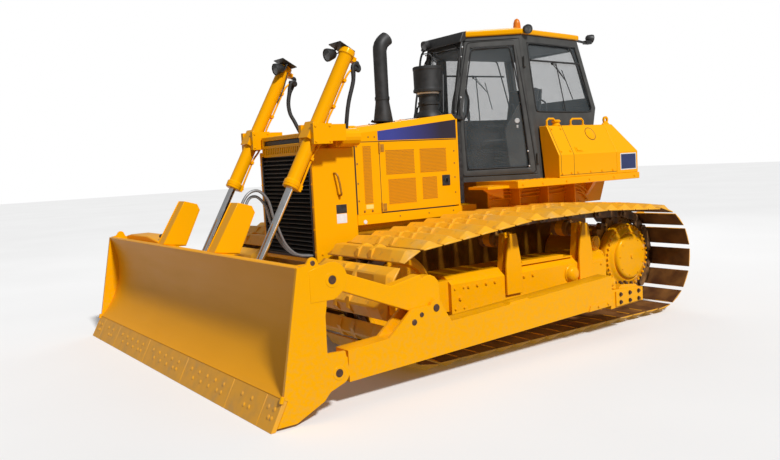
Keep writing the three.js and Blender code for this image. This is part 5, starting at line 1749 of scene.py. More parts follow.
def makeCabSide(side, hand):
    posts = ("middle", "rear")
    span = (postAt("rear", 2.15) - postAt("middle", 2.15)).length
    window = [(0.075, 2.105), (0.085, 2.815), (span - 0.200, 2.815), (span - 0.075, 2.105)]
    sealRound(f"{side}_quarter_seal", posts, window, -0.002, 0.008, "root", rubber, hand)
    bm = bmesh.new()
    # bar across the rear side window, and the wiper parked on it
    low, high = cabSpot(*posts, 0.08, 2.635, -0.008, hand), cabSpot(
        *posts, span - 0.19, 2.635, -0.008, hand,
    )
    roundInto(bm, low, high, 0.010, 12)
    low, high = cabSpot(*posts, span * 0.50, 2.11, -0.008, hand), cabSpot(
        *posts, span * 0.46, 2.635, -0.008, hand,
    )
    roundInto(bm, low, high, 0.006, 10)
    finishPiece(f"{side}_quarter_bars", bm, "root", rubber)
    bm = bmesh.new()
    pivot = cabSpot(*posts, span * 0.42, 2.62, 0.004, hand)
    elbow = cabSpot(*posts, span * 0.60, 2.44, 0.012, hand)
    tip = cabSpot(*posts, span * 0.66, 2.24, 0.008, hand)
    roundInto(bm, pivot, elbow, 0.0045, 8)
    roundInto(bm, pivot.lerp(elbow, 0.1) + up * 0.03, elbow, 0.003, 8)
    roundInto(bm, elbow.lerp(tip, -0.6), tip, 0.005, 8)
    bmesh.ops.create_uvsphere(
        bm, u_segments=12, v_segments=8, radius=0.016, matrix=Matrix.Translation(pivot),
    )
    finishPiece(f"{side}_side_wiper", bm, "root", darkBolt)
    # grab rail and studs on the front post
    rail = [
        cabSpot("front", "middle", 0.004, z, lift, hand) + Vector((lift * 0.6, 0, 0))
        for z, lift in (
            (2.86, 0.004), (2.84, 0.030), (2.50, 0.034), (2.22, 0.034), (2.05, 0.030), (2.03, 0.004),
        )
    ]
    tube(f"{side}_front_rail", rail, 0.0115, "root", darkBolt)
    bm = bmesh.new()
    for z in (2.80, 2.70, 2.14, 2.06):
        spot = cabSpot("front", "middle", 0.002, z, 0.010, hand)
        bmesh.ops.create_uvsphere(
            bm, u_segments=12, v_segments=8, radius=0.010, matrix=Matrix.Translation(spot),
        )
    finishPiece(f"{side}_post_studs", bm, "root", palePlastic)
    # grab frame with its perforated box, just behind the door
    bm = bmesh.new()
    centre = cabSpot(*posts, 0.20, 2.02, 0.055, hand)
    size = Vector((0.085, 0.030, 0.085))
    boxInto(bm, centre - size, centre + size)
    finishPiece(f"{side}_vent_box", bm, "root", darkBolt, 0.008)
    bm = bmesh.new()
    hole = bmesh.new()
    roundInto(hole, (0, 0, 0), (0, hand * 0.002, 0), 0.011, 8)
    spots = [
        centre + Vector((0.036 * column, hand * 0.0295, 0.036 * row))
        for row in (-1.5, -0.5, 0.5, 1.5) for column in (-1.5, -0.5, 0.5, 1.5)
    ]
    repeatInto(bm, hole, [Matrix.Translation(spot) for spot in spots])
    finishPiece(f"{side}_vent_holes", bm, "root", charcoal)
    frameBar = [
        centre + Vector((-0.09, 0, 0.07)), centre + Vector((-0.092, 0.0, 0.15)),
        centre + Vector((-0.075, 0.0, 0.185)), centre + Vector((0.07, 0.0, 0.195)),
        centre + Vector((0.09, 0.0, 0.165)), centre + Vector((0.09, 0, 0.07)),
    ]
    tube(f"{side}_grab_frame", frameBar, 0.0095, "root", darkBolt)


def makeLamp(name, at, aim, body, width=0.062, depth=0.070):
    aim = Vector(aim).normalized()
    bm = bmesh.new()
    spunInto(
        bm,
        [
            (-depth, 0), (-depth, width * 0.45), (-depth * 0.8, width * 0.72), (-0.01, width),
            (0.010, width), (0.010, width * 0.86), (0.002, width * 0.84), (0.002, 0),
        ],
        at, aim, 28,
    )
    housing = finishPiece(name, bm, body, lampBlack, 0.001, 1)
    bm = bmesh.new()
    spunInto(
        bm, [(0.0018, 0), (0.0018, width * 0.84), (0.006, width * 0.80), (0.009, width * 0.5), (0.010, 0)],
        at, aim, 28,
    )
    finishPiece(f"{name}_lens", bm, body, lensGlass)
    return housing


cabTopShape = {
    "beacon": (0.620, 0.470, 2.955),
    "foot": [(-0.03, 0), (-0.03, 0.052), (0.020, 0.050), (0.026, 0.044), (0.026, 0)],
    "dome": [
        (0.0262, 0), (0.0262, 0.040), (0.032, 0.042), (0.100, 0.036), (0.128, 0.026), (0.142, 0.012),
        (0.146, 0),
    ],
    "visor": [
        (1.215, 2.868), (1.285, 2.842), (1.300, 2.846), (1.300, 2.860), (1.250, 2.956), (1.205, 2.962),
    ],
    "visorHalf": 0.325,
    "linerHeight": 2.80,
    "linerDepth": 0.085,
    "seal": [(1.85, 0.252), (2.15, 0.252), (2.79, 0.243)],
}


def makeCabTop(shape=cabTopShape):
    # beacon on its foot
    foot = place(*shape["beacon"])
    bm = bmesh.new()
    spunInto(bm, shape["foot"], foot, up, 32)
    finishPiece("beacon_foot", bm, "root", lampBlack, 0.001, 1)
    bm = bmesh.new()
    spunInto(bm, shape["dome"], foot, up, 40)
    dome = finishPiece("beacon_dome", bm, "root", amber)
    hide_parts("beacon")
    # black visor over the windscreen
    bm = bmesh.new()
    sidePlateInto(bm, shape["visor"], -shape["visorHalf"], shape["visorHalf"])
    finishPiece("front_visor", bm, "root", lampBlack, 0.008, 3)
    makeLamp("front_cab_lamp", place(1.335, -0.215, 2.885), (1, -0.1, -0.25), "root", 0.052)
    makeLamp("side_cab_lamp", place(0.715, 0.718, 2.945), (0.35, 1, -0.25), "root", 0.048)
    makeLamp("right_side_cab_lamp", place(0.715, -0.718, 2.945), (0.35, -1, -0.25), "root", 0.048)
    bm = bmesh.new()
    for hand in (1, -1):
        roundInto(bm, place(0.70, hand * 0.64, 2.958), place(0.705, hand * 0.690, 2.955), 0.012, 10)
        # rear lamp arms
        roundInto(bm, place(-0.20, hand * 0.50, 2.915), place(-0.52, hand * 0.455, 2.895), 0.014, 12)
        boxInto(bm, place(-0.56, hand * 0.455 - 0.03, 2.885), place(-0.47, hand * 0.455 + 0.03, 2.925))
    roundInto(bm, place(1.26, -0.215, 2.90), place(1.30, -0.215, 2.89), 0.010, 10)
    finishPiece("lamp_arms", bm, "root", darkBolt, 0.003)
    for side, hand in sides:
        makeLamp(
            f"{side}_rear_cab_lamp", place(-0.600, hand * 0.450, 2.950), (-1, hand * 0.4, -0.2), "root",
            0.050,
        )
    # headliner under the roof
    bm = bmesh.new()
    ring = [("front", 1), ("middle", 1), ("rear", 1), ("rear", -1), ("middle", -1), ("front", -1)]
    corners = []
    for post, hand in ring:
        spot = postAt(post, shape["linerHeight"]) * 0.90 + Vector((0.045, 0))
        corners.append(place(spot.x, hand * spot.y, shape["linerHeight"]))
    plateInto(bm, corners, up * shape["linerDepth"])
    finishPiece("cab_headliner", bm, "root", plastic, 0.01)
    # cowl between the hood and the windscreen
    bm = bmesh.new()
    boxInto(bm, place(1.395, -0.40, 1.20), place(1.534, 0.40, 2.045))
    sidePlateInto(bm, [(1.392, 2.04), (1.556, 2.075), (1.556, 2.118), (1.40, 2.085)], -0.43, 0.43)
    finishPiece("cab_cowl", bm, "root", darkBolt, 0.01)
    # windscreen seal and wipers
    outline = shape["seal"] + [(z, -y) for z, y in reversed(shape["seal"])]
    front = lambda z: postAt("front", z).x
    points = [place(front(z) + 0.001, y, z) for z, y in outline]
    tube("windscreen_seal", points, 0.008, "root", rubber, cyclic=True)
    bm = bmesh.new()
    roundInto(bm, place(front(1.90) + 0.012, -0.10, 1.90), place(front(2.30) + 0.012, 0.10, 2.30), 0.004, 8)
    roundInto(bm, place(front(2.15) + 0.016, 0.13, 2.15), place(front(2.55) + 0.014, 0.05, 2.55), 0.005, 8)
    finishPiece("front_wiper", bm, "root", darkBolt)


seatShape = {
    "rear": 0.040, "front": 0.590, "halfWidth": 0.240, "base": 1.716, "top": 1.868, "backTop": 2.425,
    "voxel": 0.006, "quickVoxel": 0.02, "pressure": 4.0, "cap": 0.016, "frames": 20, "fill": 0.75,
}


def padInto(name, corners, thickness, look=seatShape):
    # a padded slab between four corners, puffed by the cloth solver and then softened
    bm = bmesh.new()
    a, b, c, d = [Vector(point) for point in corners]
    normal = (b - a).cross(d - a).normalized()
    plateInto(bm, [a, b, c, d], normal * thickness)
    bmesh.ops.subdivide_edges(bm, edges=bm.edges[:], cuts=3, use_grid_fill=True)
    bmesh.ops.smooth_vert(bm, verts=bm.verts[:], factor=0.35)
    bmesh.ops.recalc_face_normals(bm, faces=bm.faces)
    mesh = bpy.data.meshes.new(name)
    bm.to_mesh(mesh)
    bm.free()
    pad = bpy.data.objects.new(name, mesh)
    bpy.context.scene.collection.objects.link(pad)
    mesh.materials.append(cloth)
    remesh = pad.modifiers.new("remesh", "REMESH")
    remesh.mode = "VOXEL"
    remesh.voxel_size = look["voxel"]
    freeze(pad)
    rest = [vert.co.copy() for vert in pad.data.vertices]
    puff = pad.modifiers.new("puff", "CLOTH")
    puff.settings.use_pressure = True
    puff.settings.uniform_pressure_force = look["pressure"]
    puff.settings.effector_weights.gravity = 0
    puff.point_cache.frame_end = look["frames"]
    for step in range(1, look["frames"] + 1):
        bpy.context.scene.frame_set(step)
    freeze(pad)
    bpy.context.scene.frame_set(1)
    for vert, start in zip(pad.data.vertices, rest):
        move = vert.co - start
        if move.length > look["cap"]:
            vert.co = start + move.normalized() * look["cap"]
    bm = bmesh.new()
    bm.from_mesh(pad.data)
    for turn in range(4):
        bmesh.ops.smooth_vert(bm, verts=bm.verts[:], factor=0.5)
    bm.to_mesh(pad.data)
    bm.free()
    pad.data.shade_smooth()
    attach(pad, "root")
    return pad


def freeze(piece):
    # keeps the shape that the modifiers give and drops them
    shape = bpy.data.meshes.new_from_object(piece.evaluated_get(bpy.context.evaluated_depsgraph_get()))
    piece.modifiers.clear()
    old = piece.data
    piece.data = shape
    bpy.data.meshes.remove(old)


def makeSeat(look=seatShape):
    x0, x1, w = look["rear"], look["front"], look["halfWidth"]
    z0, z1 = look["base"] + 0.025, look["top"] - 0.03
    cushion = padInto(
        "seat_cushion",
        [
            place(x0 + 0.13, -w, z0), place(x1 - 0.01, -w, z0), place(x1 - 0.01, w, z0),
            place(x0 + 0.13, w, z0),
        ],
        z1 - z0,
    )
    back = [place(0.135, w - 0.03, z1 + 0.03), place(0.020, w - 0.03, look["backTop"] - 0.02),
            place(0.020, -w + 0.03, look["backTop"] - 0.02), place(0.135, -w + 0.03, z1 + 0.03)]
    backPad = padInto("seat_back", back, 0.085)
    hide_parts("operator_seat")
    bm = bmesh.new()
    boxInto(bm, place(0.17, -0.165, 1.472), place(0.47, 0.165, 1.56))
    for k in range(4):
        boxInto(
            bm, place(0.185 + 0.004 * k, -0.15, 1.56 + 0.036 * k),
            place(0.455 - 0.004 * k, 0.15, 1.588 + 0.036 * k),
        )
    boxInto(bm, place(0.06, -0.225, 1.702), place(0.56, 0.225, 1.732))
    sidePlateInto(bm, [(0.075, 1.74), (0.118, 1.74), (0.005, 2.40), (-0.018, 2.40)], -0.205, 0.205)
    for y in (-0.275, 0.235):
        sidePlateInto(bm, [(0.10, 1.99), (0.44, 2.00), (0.45, 2.03), (0.10, 2.035)], y, y + 0.04)
        boxInto(bm, place(0.13, y + 0.005, 1.74), place(0.17, y + 0.035, 2.00))
    finishPiece("seat_frame", bm, "root", plastic, 0.008)
    return backPad


consoleShape = {
    "side": [
        (0.13, 1.475), (0.62, 1.475), (0.69, 1.92), (0.68, 2.005), (0.60, 2.028), (0.22, 2.020),
        (0.13, 1.93),
    ],
    "inner": 0.300, "outer": 0.425, "leverAt": (0.60, 0.36, 2.022), "leverLean": (0.15, 0, 1),
    "lever": [
        (-0.01, 0), (-0.01, 0.042), (0.004, 0.042), (0.030, 0.026), (0.045, 0.016), (0.085, 0.014),
        (0.10, 0.020), (0.150, 0.024), (0.185, 0.021), (0.197, 0.010), (0.199, 0),
    ],
    "cluster": [
        (1.135, 1.475), (1.285, 1.475), (1.285, 2.02), (1.255, 2.075), (1.178, 2.110), (1.115, 2.040),
    ],
    "clusterHalf": 0.165, "gaugeY": (-0.10, -0.035, 0.035, 0.10), "gaugeRadius": 0.030,
    "gaugeFace": (-0.74, 0, 0.67),
}


def makeConsoles(shape=consoleShape):
    for side, hand in sides:
        bm = bmesh.new()
        flankInto(bm, hand, shape["side"], shape["inner"], shape["outer"])
        console = finishPiece(f"{side}_console", bm, "root", plastic, 0.022, 3)
        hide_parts(f"{side}_armrest_console")
        bm = bmesh.new()
        x, y, z = shape["leverAt"]
        spunInto(bm, shape["lever"], place(x, hand * y, z), shape["leverLean"], 24)
        finishPiece(f"{side}_control_lever", bm, "root", lampBlack)
        bm = bmesh.new()
        boxInto(bm, place(0.24, hand * 0.362 - 0.046, 2.018), place(0.48, hand * 0.362 + 0.046, 2.046))
        finishPiece(f"{side}_arm_pad", bm, "root", cloth, 0.012, 3)
    bm = bmesh.new()
    sidePlateInto(bm, shape["cluster"], -shape["clusterHalf"], shape["clusterHalf"])
    boxInto(bm, place(1.16, -0.168, 2.09), place(1.24, 0.168, 2.118))
    panel = finishPiece("instrument_cluster", bm, "root", plastic, 0.012, 3)
    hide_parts("instrument_panel")
    bm = bmesh.new()
    face, radius = Vector(shape["gaugeFace"]).normalized(), shape["gaugeRadius"]
    gauge = [
        (-0.004, 0), (-0.004, radius), (0.004, radius), (0.004, radius * 0.86), (0.001, radius * 0.84),
        (0.001, 0),
    ]
    for y in shape["gaugeY"]:
        spunInto(bm, gauge, place(1.146, y, 2.072), face, 24)
    finishPiece("gauges", bm, "root", palePlastic)


for side, hand in sides:
    makeDoor(side, hand)
    makeCabSide(side, hand)
makeCabTop()
makeSeat()
makeConsoles()
print("cab fitted out")


# tanks, deck and what hangs under it


def handleInto(bm, first, last, rise, radius=0.011):
    first, last = Vector(first), Vector(last)
    corner = (last - first).normalized() * rise * 0.35
    spots = [
        first, first + up * (rise * 0.7), first + corner + up * rise, last - corner + up * rise,
        last + up * (rise * 0.7), last,
    ]
    loftInto(
        bm,
        [(spot, (spots[min(k + 1, 5)] - spots[max(k - 1, 0)]), radius) for k, spot in enumerate(spots)],
        12,
    )
    for foot in (first, last):
        roundInto(bm, foot - up * 0.004, foot + up * 0.008, radius * 1.9, 16)


def onSlope(x, share, hand, proud=0.0):
    # a point on the side tank's slanting face, share 0 at its foot and 1 at its top
    low, high = Vector((1.010, 1.640)), Vector((0.850, 1.948))
    spot = low.lerp(high, share)
    outward = Vector((high.y - low.y, low.x - high.x)).normalized() * proud
    return place(x, hand * (spot.x + outward.x), spot.y + outward.y)


def makeTankFittings(side, hand):
    # the seams are dark strips of painted shade
    seams = bmesh.new()
    for x in (0.418, 0.612):
        boxInto(seams, place(x - 0.002, hand * 1.0085, 1.425), place(x + 0.002, hand * 1.0112, 1.64))
        corners = [
            onSlope(x - 0.002, 0, hand, -0.002), onSlope(x + 0.002, 0, hand, -0.002),
            onSlope(x + 0.002, 1, hand, -0.002), onSlope(x - 0.002, 1, hand, -0.002),
        ]
        plateInto(seams, corners, (onSlope(x, 0, hand, 0.0032) - onSlope(x, 0, hand, 0)))
    boxInto(seams, place(-0.262, hand * 1.0085, 1.432), place(0.634, hand * 1.0112, 1.436))
    finishPiece(f"{side}_tank_seams", seams, "root", gapShade)
    bm = bmesh.new()
    outward = (onSlope(0, 0.5, hand, 1) - onSlope(0, 0.5, hand, 0)).normalized()
    # round inspection cover on the slope, with a thin groove about it
    centre = onSlope(0.024, 0.68, hand, 0)
    spunInto(
        bm, [(-0.002, 0), (-0.002, 0.068), (0.003, 0.068), (0.0045, 0.064), (0.0045, 0.0)], centre,
        outward, 40,
    )
    # latch with its striker
    latch = onSlope(0.31, 0.16, hand, 0.0)
    for size, lift in (((0.052, 0.030), 0.004), ((0.036, 0.018), 0.010)):
        a, b = size
        along = (onSlope(0.31, 1, hand) - onSlope(0.31, 0, hand)).normalized()
        wide = Vector((1, 0, 0))
        corners = [
            latch - wide * a - along * b, latch + wide * a - along * b, latch + wide * a + along * b,
            latch - wide * a + along * b,
        ]
        plateInto(bm, corners, outward * lift)
    # grab handles on top and the lifting eye
    handleInto(bm, place(0.600, hand * 0.82, 1.946), place(0.475, hand * 0.82, 1.946), 0.075)
    handleInto(bm, place(0.235, hand * 0.82, 1.946), place(0.040, hand * 0.82, 1.946), 0.070)
    ring = [(x, z) for x, z in arc(-0.335, 2.000, 0.040, -40, 220, 14)]
    plate = [(-0.270, 1.946)] + ring + [(-0.400, 1.946)]
    hole = 0.018
    y0 = hand * 0.82 - 0.009
    outer = [place(x, y0, z) for x, z in plate]
    inner = [
        place(-0.335 + hole * math.cos(math.radians(d)), y0, 2.000 + hole * math.sin(math.radians(d)))
        for d in [-60] + [(-40 + 260 * k / 14) for k in range(15)] + [240]
    ]
    thick = Vector((0, 0.018, 0))
    rims = [
        [bm.verts.new(point + offset) for point in row]
        for offset in (Vector(), thick) for row in (outer, inner)
    ]
    outerA, innerA, outerB, innerB = rims
    count = len(outerA)
    for k in range(count):
        n = (k + 1) % count
        bm.faces.new((outerA[k], outerA[n], innerA[n], innerA[k]))
        bm.faces.new((outerB[n], outerB[k], innerB[k], innerB[n]))
        bm.faces.new((outerA[n], outerA[k], outerB[k], outerB[n]))
        bm.faces.new((innerA[k], innerA[n], innerB[n], innerB[k]))
    # bolt heads along the foot of the tank and on the slope
    for x in (-0.20, -0.02, 0.16, 0.36, 0.46, 0.60):
        boltInto(bm, place(x, hand * 1.010, 1.455), (0, hand, 0), 0.011, 0.008)
    for x in (0.45, 0.585):
        for share in (0.12, 0.88):
            boltInto(bm, onSlope(x, share, hand), outward, 0.011, 0.008)
    finishPiece(f"{side}_tank_fittings", bm, "root", paint, 0.0015, 1)
    # the groove is a dark ring of painted shade
    ring = bmesh.new()
    spunInto(
        ring, [(-0.002, 0.070), (-0.002, 0.076), (0.0012, 0.076), (0.0012, 0.070), (-0.002, 0.070)],
        centre, outward, 40,
    )
    finishPiece(f"{side}_tank_cover_groove", ring, "root", gapShade)
    # blank square label with a pale border
    bm = bmesh.new()
    boxInto(bm, place(-0.600, hand * 1.0085, 1.445), place(-0.330, hand * 1.0112, 1.625))
    finishPiece(f"{side}_label_border", bm, "root", palePlastic)
    bm = bmesh.new()
    boxInto(bm, place(-0.590, hand * 1.0085, 1.455), place(-0.340, hand * 1.0122, 1.615))
    finishPiece(f"{side}_label_field", bm, "root", navy)


capShape = {
    "at": (0.450, 0.810, 1.948),
    "profile": [
        (-0.002, 0), (-0.002, 0.050), (0.004, 0.050), (0.010, 0.041), (0.030, 0.036), (0.034, 0.045),
        (0.052, 0.046), (0.060, 0.040), (0.062, 0.0),
    ],
    "grips": 12,
    "rim": 0.046,
    "gripFoot": 0.036,
    "gripHeight": 0.014,
    "gripRadius": 0.0035,
}


def makeFillerCap(shape=capShape):
    neck, rim = place(*shape["at"]), shape["rim"]
    bm = bmesh.new()
    spunInto(bm, shape["profile"], neck, up, 32)
    for k in range(shape["grips"]):
        turn = math.radians(30 * k)
        spot = neck + Vector((rim * math.cos(turn), rim * math.sin(turn), shape["gripFoot"]))
        roundInto(bm, spot, spot + up * shape["gripHeight"], shape["gripRadius"], 6)
    finishPiece("filler_cap", bm, "root", paint, 0.001, 1)


rearTankShape = {
    "seams": (-0.72, 0.72),
    "bolts": (-0.95, -0.60, -0.20, 0.20, 0.60, 0.95),
    "capAt": (-0.330, -0.60, 1.950),
    "cap": [
        (-0.002, 0), (-0.002, 0.060), (0.010, 0.058), (0.024, 0.048), (0.040, 0.046), (0.046, 0.038),
        (0.046, 0),
    ],
}


def makeRearTank(shape=rearTankShape):
    bm = bmesh.new()
    # seams, bolts and handles of the tank behind the cab, with its cap, sight glass and tail lamps
    # the seams are dark strips of painted shade
    for y in shape["seams"]:
        boxInto(bm, place(-0.6322, y - 0.002, 1.44), place(-0.6290, y + 0.002, 1.64))
    finishPiece("rear_tank_seams", bm, "root", gapShade)
    bm = bmesh.new()
    for y in shape["bolts"]:
        boltInto(bm, place(-0.630, y, 1.47), (-1, 0, 0), 0.012, 0.008)
    handleInto(bm, place(-0.355, 0.30, 1.948), place(-0.355, 0.12, 1.948), 0.062)
    handleInto(bm, place(-0.355, -0.12, 1.948), place(-0.355, -0.30, 1.948), 0.062)
    spunInto(bm, shape["cap"], place(*shape["capAt"]), up, 32)
    finishPiece("rear_tank_fittings", bm, "root", paint, 0.0015, 1)
    bm = bmesh.new()
    boxInto(bm, place(-0.640, 0.86, 1.475), place(-0.629, 0.875, 1.62))
    finishPiece("sight_glass", bm, "root", lampBlack, 0.002, 1)
    for side, hand in sides:
        makeLamp(f"{side}_tail_lamp", place(-0.628, hand * 0.80, 1.545), (-1, 0, 0), "root", 0.034, 0.006)


deckShape = {
    "sheets": ((0.68, 1.235, 0.80, 1.005), (1.245, 1.252, 0.45, 1.00)),
    "bar": (0.030, 0.006, 0.004, 1),
    "bars": (5, 11),
    "bolts": (-0.55, -0.20, 0.20, 0.55, 0.90, 1.18),
    "bracket": [(1.22, 1.348), (1.50, 1.348), (1.40, 1.29), (1.22, 1.24)],
    "skirt": [(-0.60, 1.345), (1.24, 1.345), (1.24, 1.115), (0.90, 1.100), (-0.50, 1.100)],
    "skirtY": 0.575,
    "stiffeners": (0.10, 0.52, 0.94),
    "pipes": ((1.30, 0.06), (1.265, 0.10), (1.225, 0.05)),
    "pipeRadius": 0.0085,
}


def makeDeck(side, hand, shape=deckShape):
    bm = bmesh.new()
    # tread plates on the walkway, raised crossing bars on a thin sheet
    for x0, x1, y0, y1 in shape["sheets"]:
        boxInto(bm, place(x0, hand * y0, 1.404), place(x1, hand * y1, 1.413))
    bar = bmesh.new()
    bmesh.ops.create_cube(bar, size=1.0, matrix=Matrix.Diagonal(shape["bar"]))
    turns = []
    rows, columns = shape["bars"]
    for row in range(rows):
        for column in range(columns):
            tilt = 45 if (row + column) % 2 else -45
            spot = place(0.71 + 0.05 * column, hand * (0.825 + 0.04 * row), 1.414)
            turns.append(Matrix.Translation(spot) @ Matrix.Rotation(math.radians(tilt), 4, "Z"))
    repeatInto(bm, bar, turns)
    for x in shape["bolts"]:
        boltInto(bm, place(x, hand * 1.022, 1.375), (0, hand, 0), 0.012, 0.007)
    finishPiece(f"{side}_deck_plates", bm, "root", paint, 0.001, 1)
    # step plate ahead of the deck and its bracket
    bm = bmesh.new()
    boxInto(bm, place(1.20, hand * 0.62, 1.345), place(1.535, hand * 0.90, 1.372))
    sidePlateInto(bm, shape["bracket"], hand * 0.78 - 0.006, hand * 0.78 + 0.006)
    for k in range(6):
        roundInto(
            bm, place(1.225 + 0.052 * k, hand * 0.64, 1.374), place(1.225 + 0.052 * k, hand * 0.88, 1.374),
            0.005, 8,
        )
    finishPiece(f"{side}_step_plate", bm, "root", paint, 0.003)
    # skirt under the deck, stiffened, with its pipes
    bm = bmesh.new()
    y = hand * shape["skirtY"]
    sidePlateInto(bm, shape["skirt"], y - 0.008, y + 0.008)
    for x in shape["stiffeners"]:
        boxInto(bm, place(x - 0.008, y, 1.115), place(x + 0.008, y + hand * 0.16, 1.342))
        sidePlateInto(
            bm, [(x - 0.03, 1.342), (x + 0.03, 1.342), (x + 0.03, 1.332), (x - 0.03, 1.332)],
            y + min(0, hand * 0.3), y + max(0, hand * 0.3),
        )
    for k in range(14):
        boltInto(bm, place(-0.24 + 0.11 * k, y + hand * 0.008, 1.125), (0, hand, 0), 0.010, 0.007)
    finishPiece(f"{side}_deck_skirt", bm, "root", lowPaint, 0.002, 1)
    for k, (z, drop) in enumerate(shape["pipes"]):
        knots = [
            (1.20, 0.03, z), (0.80, 0.035, z - 0.004), (0.30, 0.03, z + 0.003), (-0.10, 0.03, z - 0.002),
            (-0.22, 0.028, z - drop), (-0.27, 0.02, z - drop - 0.04),
        ]
        run = [place(x, y + hand * beside, height) for x, beside, height in knots]
        tube(f"{side}_deck_pipe_{k + 1}", run, shape["pipeRadius"], "root", lowPaint)


for side, hand in sides:
    makeTankFittings(side, hand)
    makeDeck(side, hand)
makeFillerCap()
makeRearTank()
print("tanks and deck fitted out")


# lift cylinders with their hoses, lamps and bearing caps

liftLine = {
    "trunnion": (3.245, 0.580, 1.940),
    "axis": (0.4883, 0.0, -0.8727),
    "length": 1.4438,
}


def liftAt(hand, along, ahead=0.0, aside=0.0, look=liftLine):
    # along the cylinder from its trunnion, ahead of it and to the side
    x, y, z = look["trunnion"]
    axis = Vector(look["axis"])
    return place(x, hand * y + aside, z) + axis * along + Vector((-axis.z, 0, axis.x)) * ahead


def tiltedBox(bm, hand, low, high):
    # a box in the cylinder's own directions: along, ahead, aside
    made = bmesh.ops.create_cube(bm, size=1.0)["verts"]
    for vert in made:
        share = vert.co + Vector((0.5, 0.5, 0.5))
        along, ahead, aside = (low[k] + (high[k] - low[k]) * share[k] for k in range(3))
        vert.co = liftAt(hand, along, ahead, aside)
    bmesh.ops.recalc_face_normals(bm, faces=list({face for vert in made for face in vert.link_faces}))


def makeBarrel(side, hand, look=liftLine):
    body = f"{side}_cylinder"
    axis = Vector(look["axis"])
    bm = bmesh.new()
    spunInto(
        bm,
        [
            (-0.832, 0), (-0.832, 0.058), (-0.826, 0.069), (-0.792, 0.073), (-0.778, 0.073),
            (-0.770, 0.064), (-0.762, 0.0615), (0.446, 0.0615), (0.454, 0.067), (0.460, 0.073),
            (0.494, 0.073), (0.496, 0.070), (0.502, 0.070), (0.504, 0.073), (0.516, 0.071), (0.522, 0.062),
            (0.523, 0.0),
        ],
        liftAt(hand, 0), axis, 48,
    )
    barrel = finishPiece(f"{side}_cylinder_tube", bm, body, paint)
    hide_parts(f"{side}_lift_barrel")
    bm = bmesh.new()
    # square trunnion block with its pins
    for way in (-1, 1):
        low, high = sorted((way * 0.058, way * 0.076))
        tiltedBox(bm, hand, (-0.078, low, -0.076), (0.078, high, 0.076))
        tiltedBox(bm, hand, (-0.078, -0.059, low), (0.078, 0.059, high))
        roundInto(bm, liftAt(hand, 0, 0, way * 0.060), liftAt(hand, 0, 0, way * 0.118), 0.039, 32)
    # head end lugs, port lugs and the clips that hold the pipes
    tiltedBox(bm, hand, (-0.800, -0.098, -0.030), (-0.755, -0.055, 0.030))
    tiltedBox(bm, hand, (0.455, -0.092, -0.028), (0.515, -0.055, 0.028))
    for along in (-0.560, -0.300, 0.210):
        tiltedBox(bm, hand, (along - 0.014, -0.084, -0.040), (along + 0.014, -0.056, 0.040))
    for along, ahead, aside in (
        (-0.778, -0.098, 0.020), (-0.778, -0.098, -0.020), (0.485, -0.092, 0.018), (0.485, -0.092, -0.018),
    ):
        boltInto(
            bm, liftAt(hand, along, ahead, aside), liftAt(hand, 0, -1) - liftAt(hand, 0, 0), 0.009, 0.007,
        )
    finishPiece(f"{side}_cylinder_fittings", bm, body, paint, 0.004)
    # steel pipes down the rear side
    lower = [
        liftAt(hand, -0.30, -0.0725, 0.020), liftAt(hand, -0.15, -0.0725, 0.020),
        liftAt(hand, -0.085, -0.087, 0.020), liftAt(hand, 0.085, -0.087, 0.020),
        liftAt(hand, 0.16, -0.0725, 0.020), liftAt(hand, 0.25, -0.0725, 0.020),
        liftAt(hand, 0.44, -0.080, 0.012), liftAt(hand, 0.485, -0.086, 0.0),
    ]
    upper = [
        liftAt(hand, -0.30, -0.074, 0.020), liftAt(hand, -0.52, -0.074, 0.020),
        liftAt(hand, -0.64, -0.080, 0.020), liftAt(hand, -0.715, -0.112, 0.022),
    ]
    tube(f"{side}_cylinder_pipe", upper[::-1] + lower[1:], 0.0095, body, paint)
    # unions for the two hoses at the head
    bm = bmesh.new()
    for along, ahead, aside in ((-0.778, -0.094, -0.018), (-0.715, -0.110, 0.022)):
        out = liftAt(hand, -0.10, -1) - liftAt(hand, 0, 0)
        spunInto(
            bm,
            [
                (-0.02, 0), (-0.02, 0.017), (0.0, 0.017), (0.0, 0.021), (0.018, 0.021), (0.018, 0.017),
                (0.030, 0.017), (0.030, 0),
            ],
            liftAt(hand, along, ahead, aside), out, 6,
        )
    finishPiece(f"{side}_hose_unions", bm, body, darkBolt, 0.001, 1)


hoseRoutes = {
    "left": [(2.752, 0.58, 2.545), (2.785, 0.58, 2.390), (2.838, 0.57, 2.210), (2.862, 0.56, 2.060)],
    "right": [(2.735, 0.58, 2.520), (2.800, 0.58, 2.385), (2.812, 0.57, 2.220), (2.775, 0.54, 2.110)],
}
hoseFeet = {"left": (2.865, 0.545, 1.960), "right": (2.735, 0.500, 1.990)}


def makeLiftHoses(side, hand, route, foot):
    head = [liftAt(hand, -0.778, -0.115, -0.018), liftAt(hand, -0.715, -0.132, 0.022)]
    for k, top in enumerate(head):
        aside = (-0.026, 0.026)[k]
        droop = 0.035 * k
        points = [top, top + Vector((-0.030, 0, -0.012))]
        points += [
            place(x + droop, hand * y + aside, z)
            for x, y, z in route
        ] + [place(foot[0] + droop, hand * foot[1] + aside, foot[2])]
        hose = tube(f"{side}_lift_hose_{k + 1}", points, 0.0175, None, rubber)
        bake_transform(hose)
        if k == 0:
            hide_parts(f"{side}_lift_hose")
    bm = bmesh.new()
    for k, aside in enumerate((-0.026, 0.026)):
        spot = place(foot[0] + 0.035 * k, hand * foot[1] + aside, foot[2])
        spunInto(
            bm,
            [
                (-0.055, 0), (-0.055, 0.020), (-0.030, 0.020), (-0.030, 0.024), (-0.008, 0.024),
                (-0.008, 0.019), (0.006, 0.019), (0.006, 0),
            ],
            spot, (0.05, 0, 1), 6,
        )
    finishPiece(f"{side}_hose_feet", bm, "root", darkBolt, 0.001, 1)


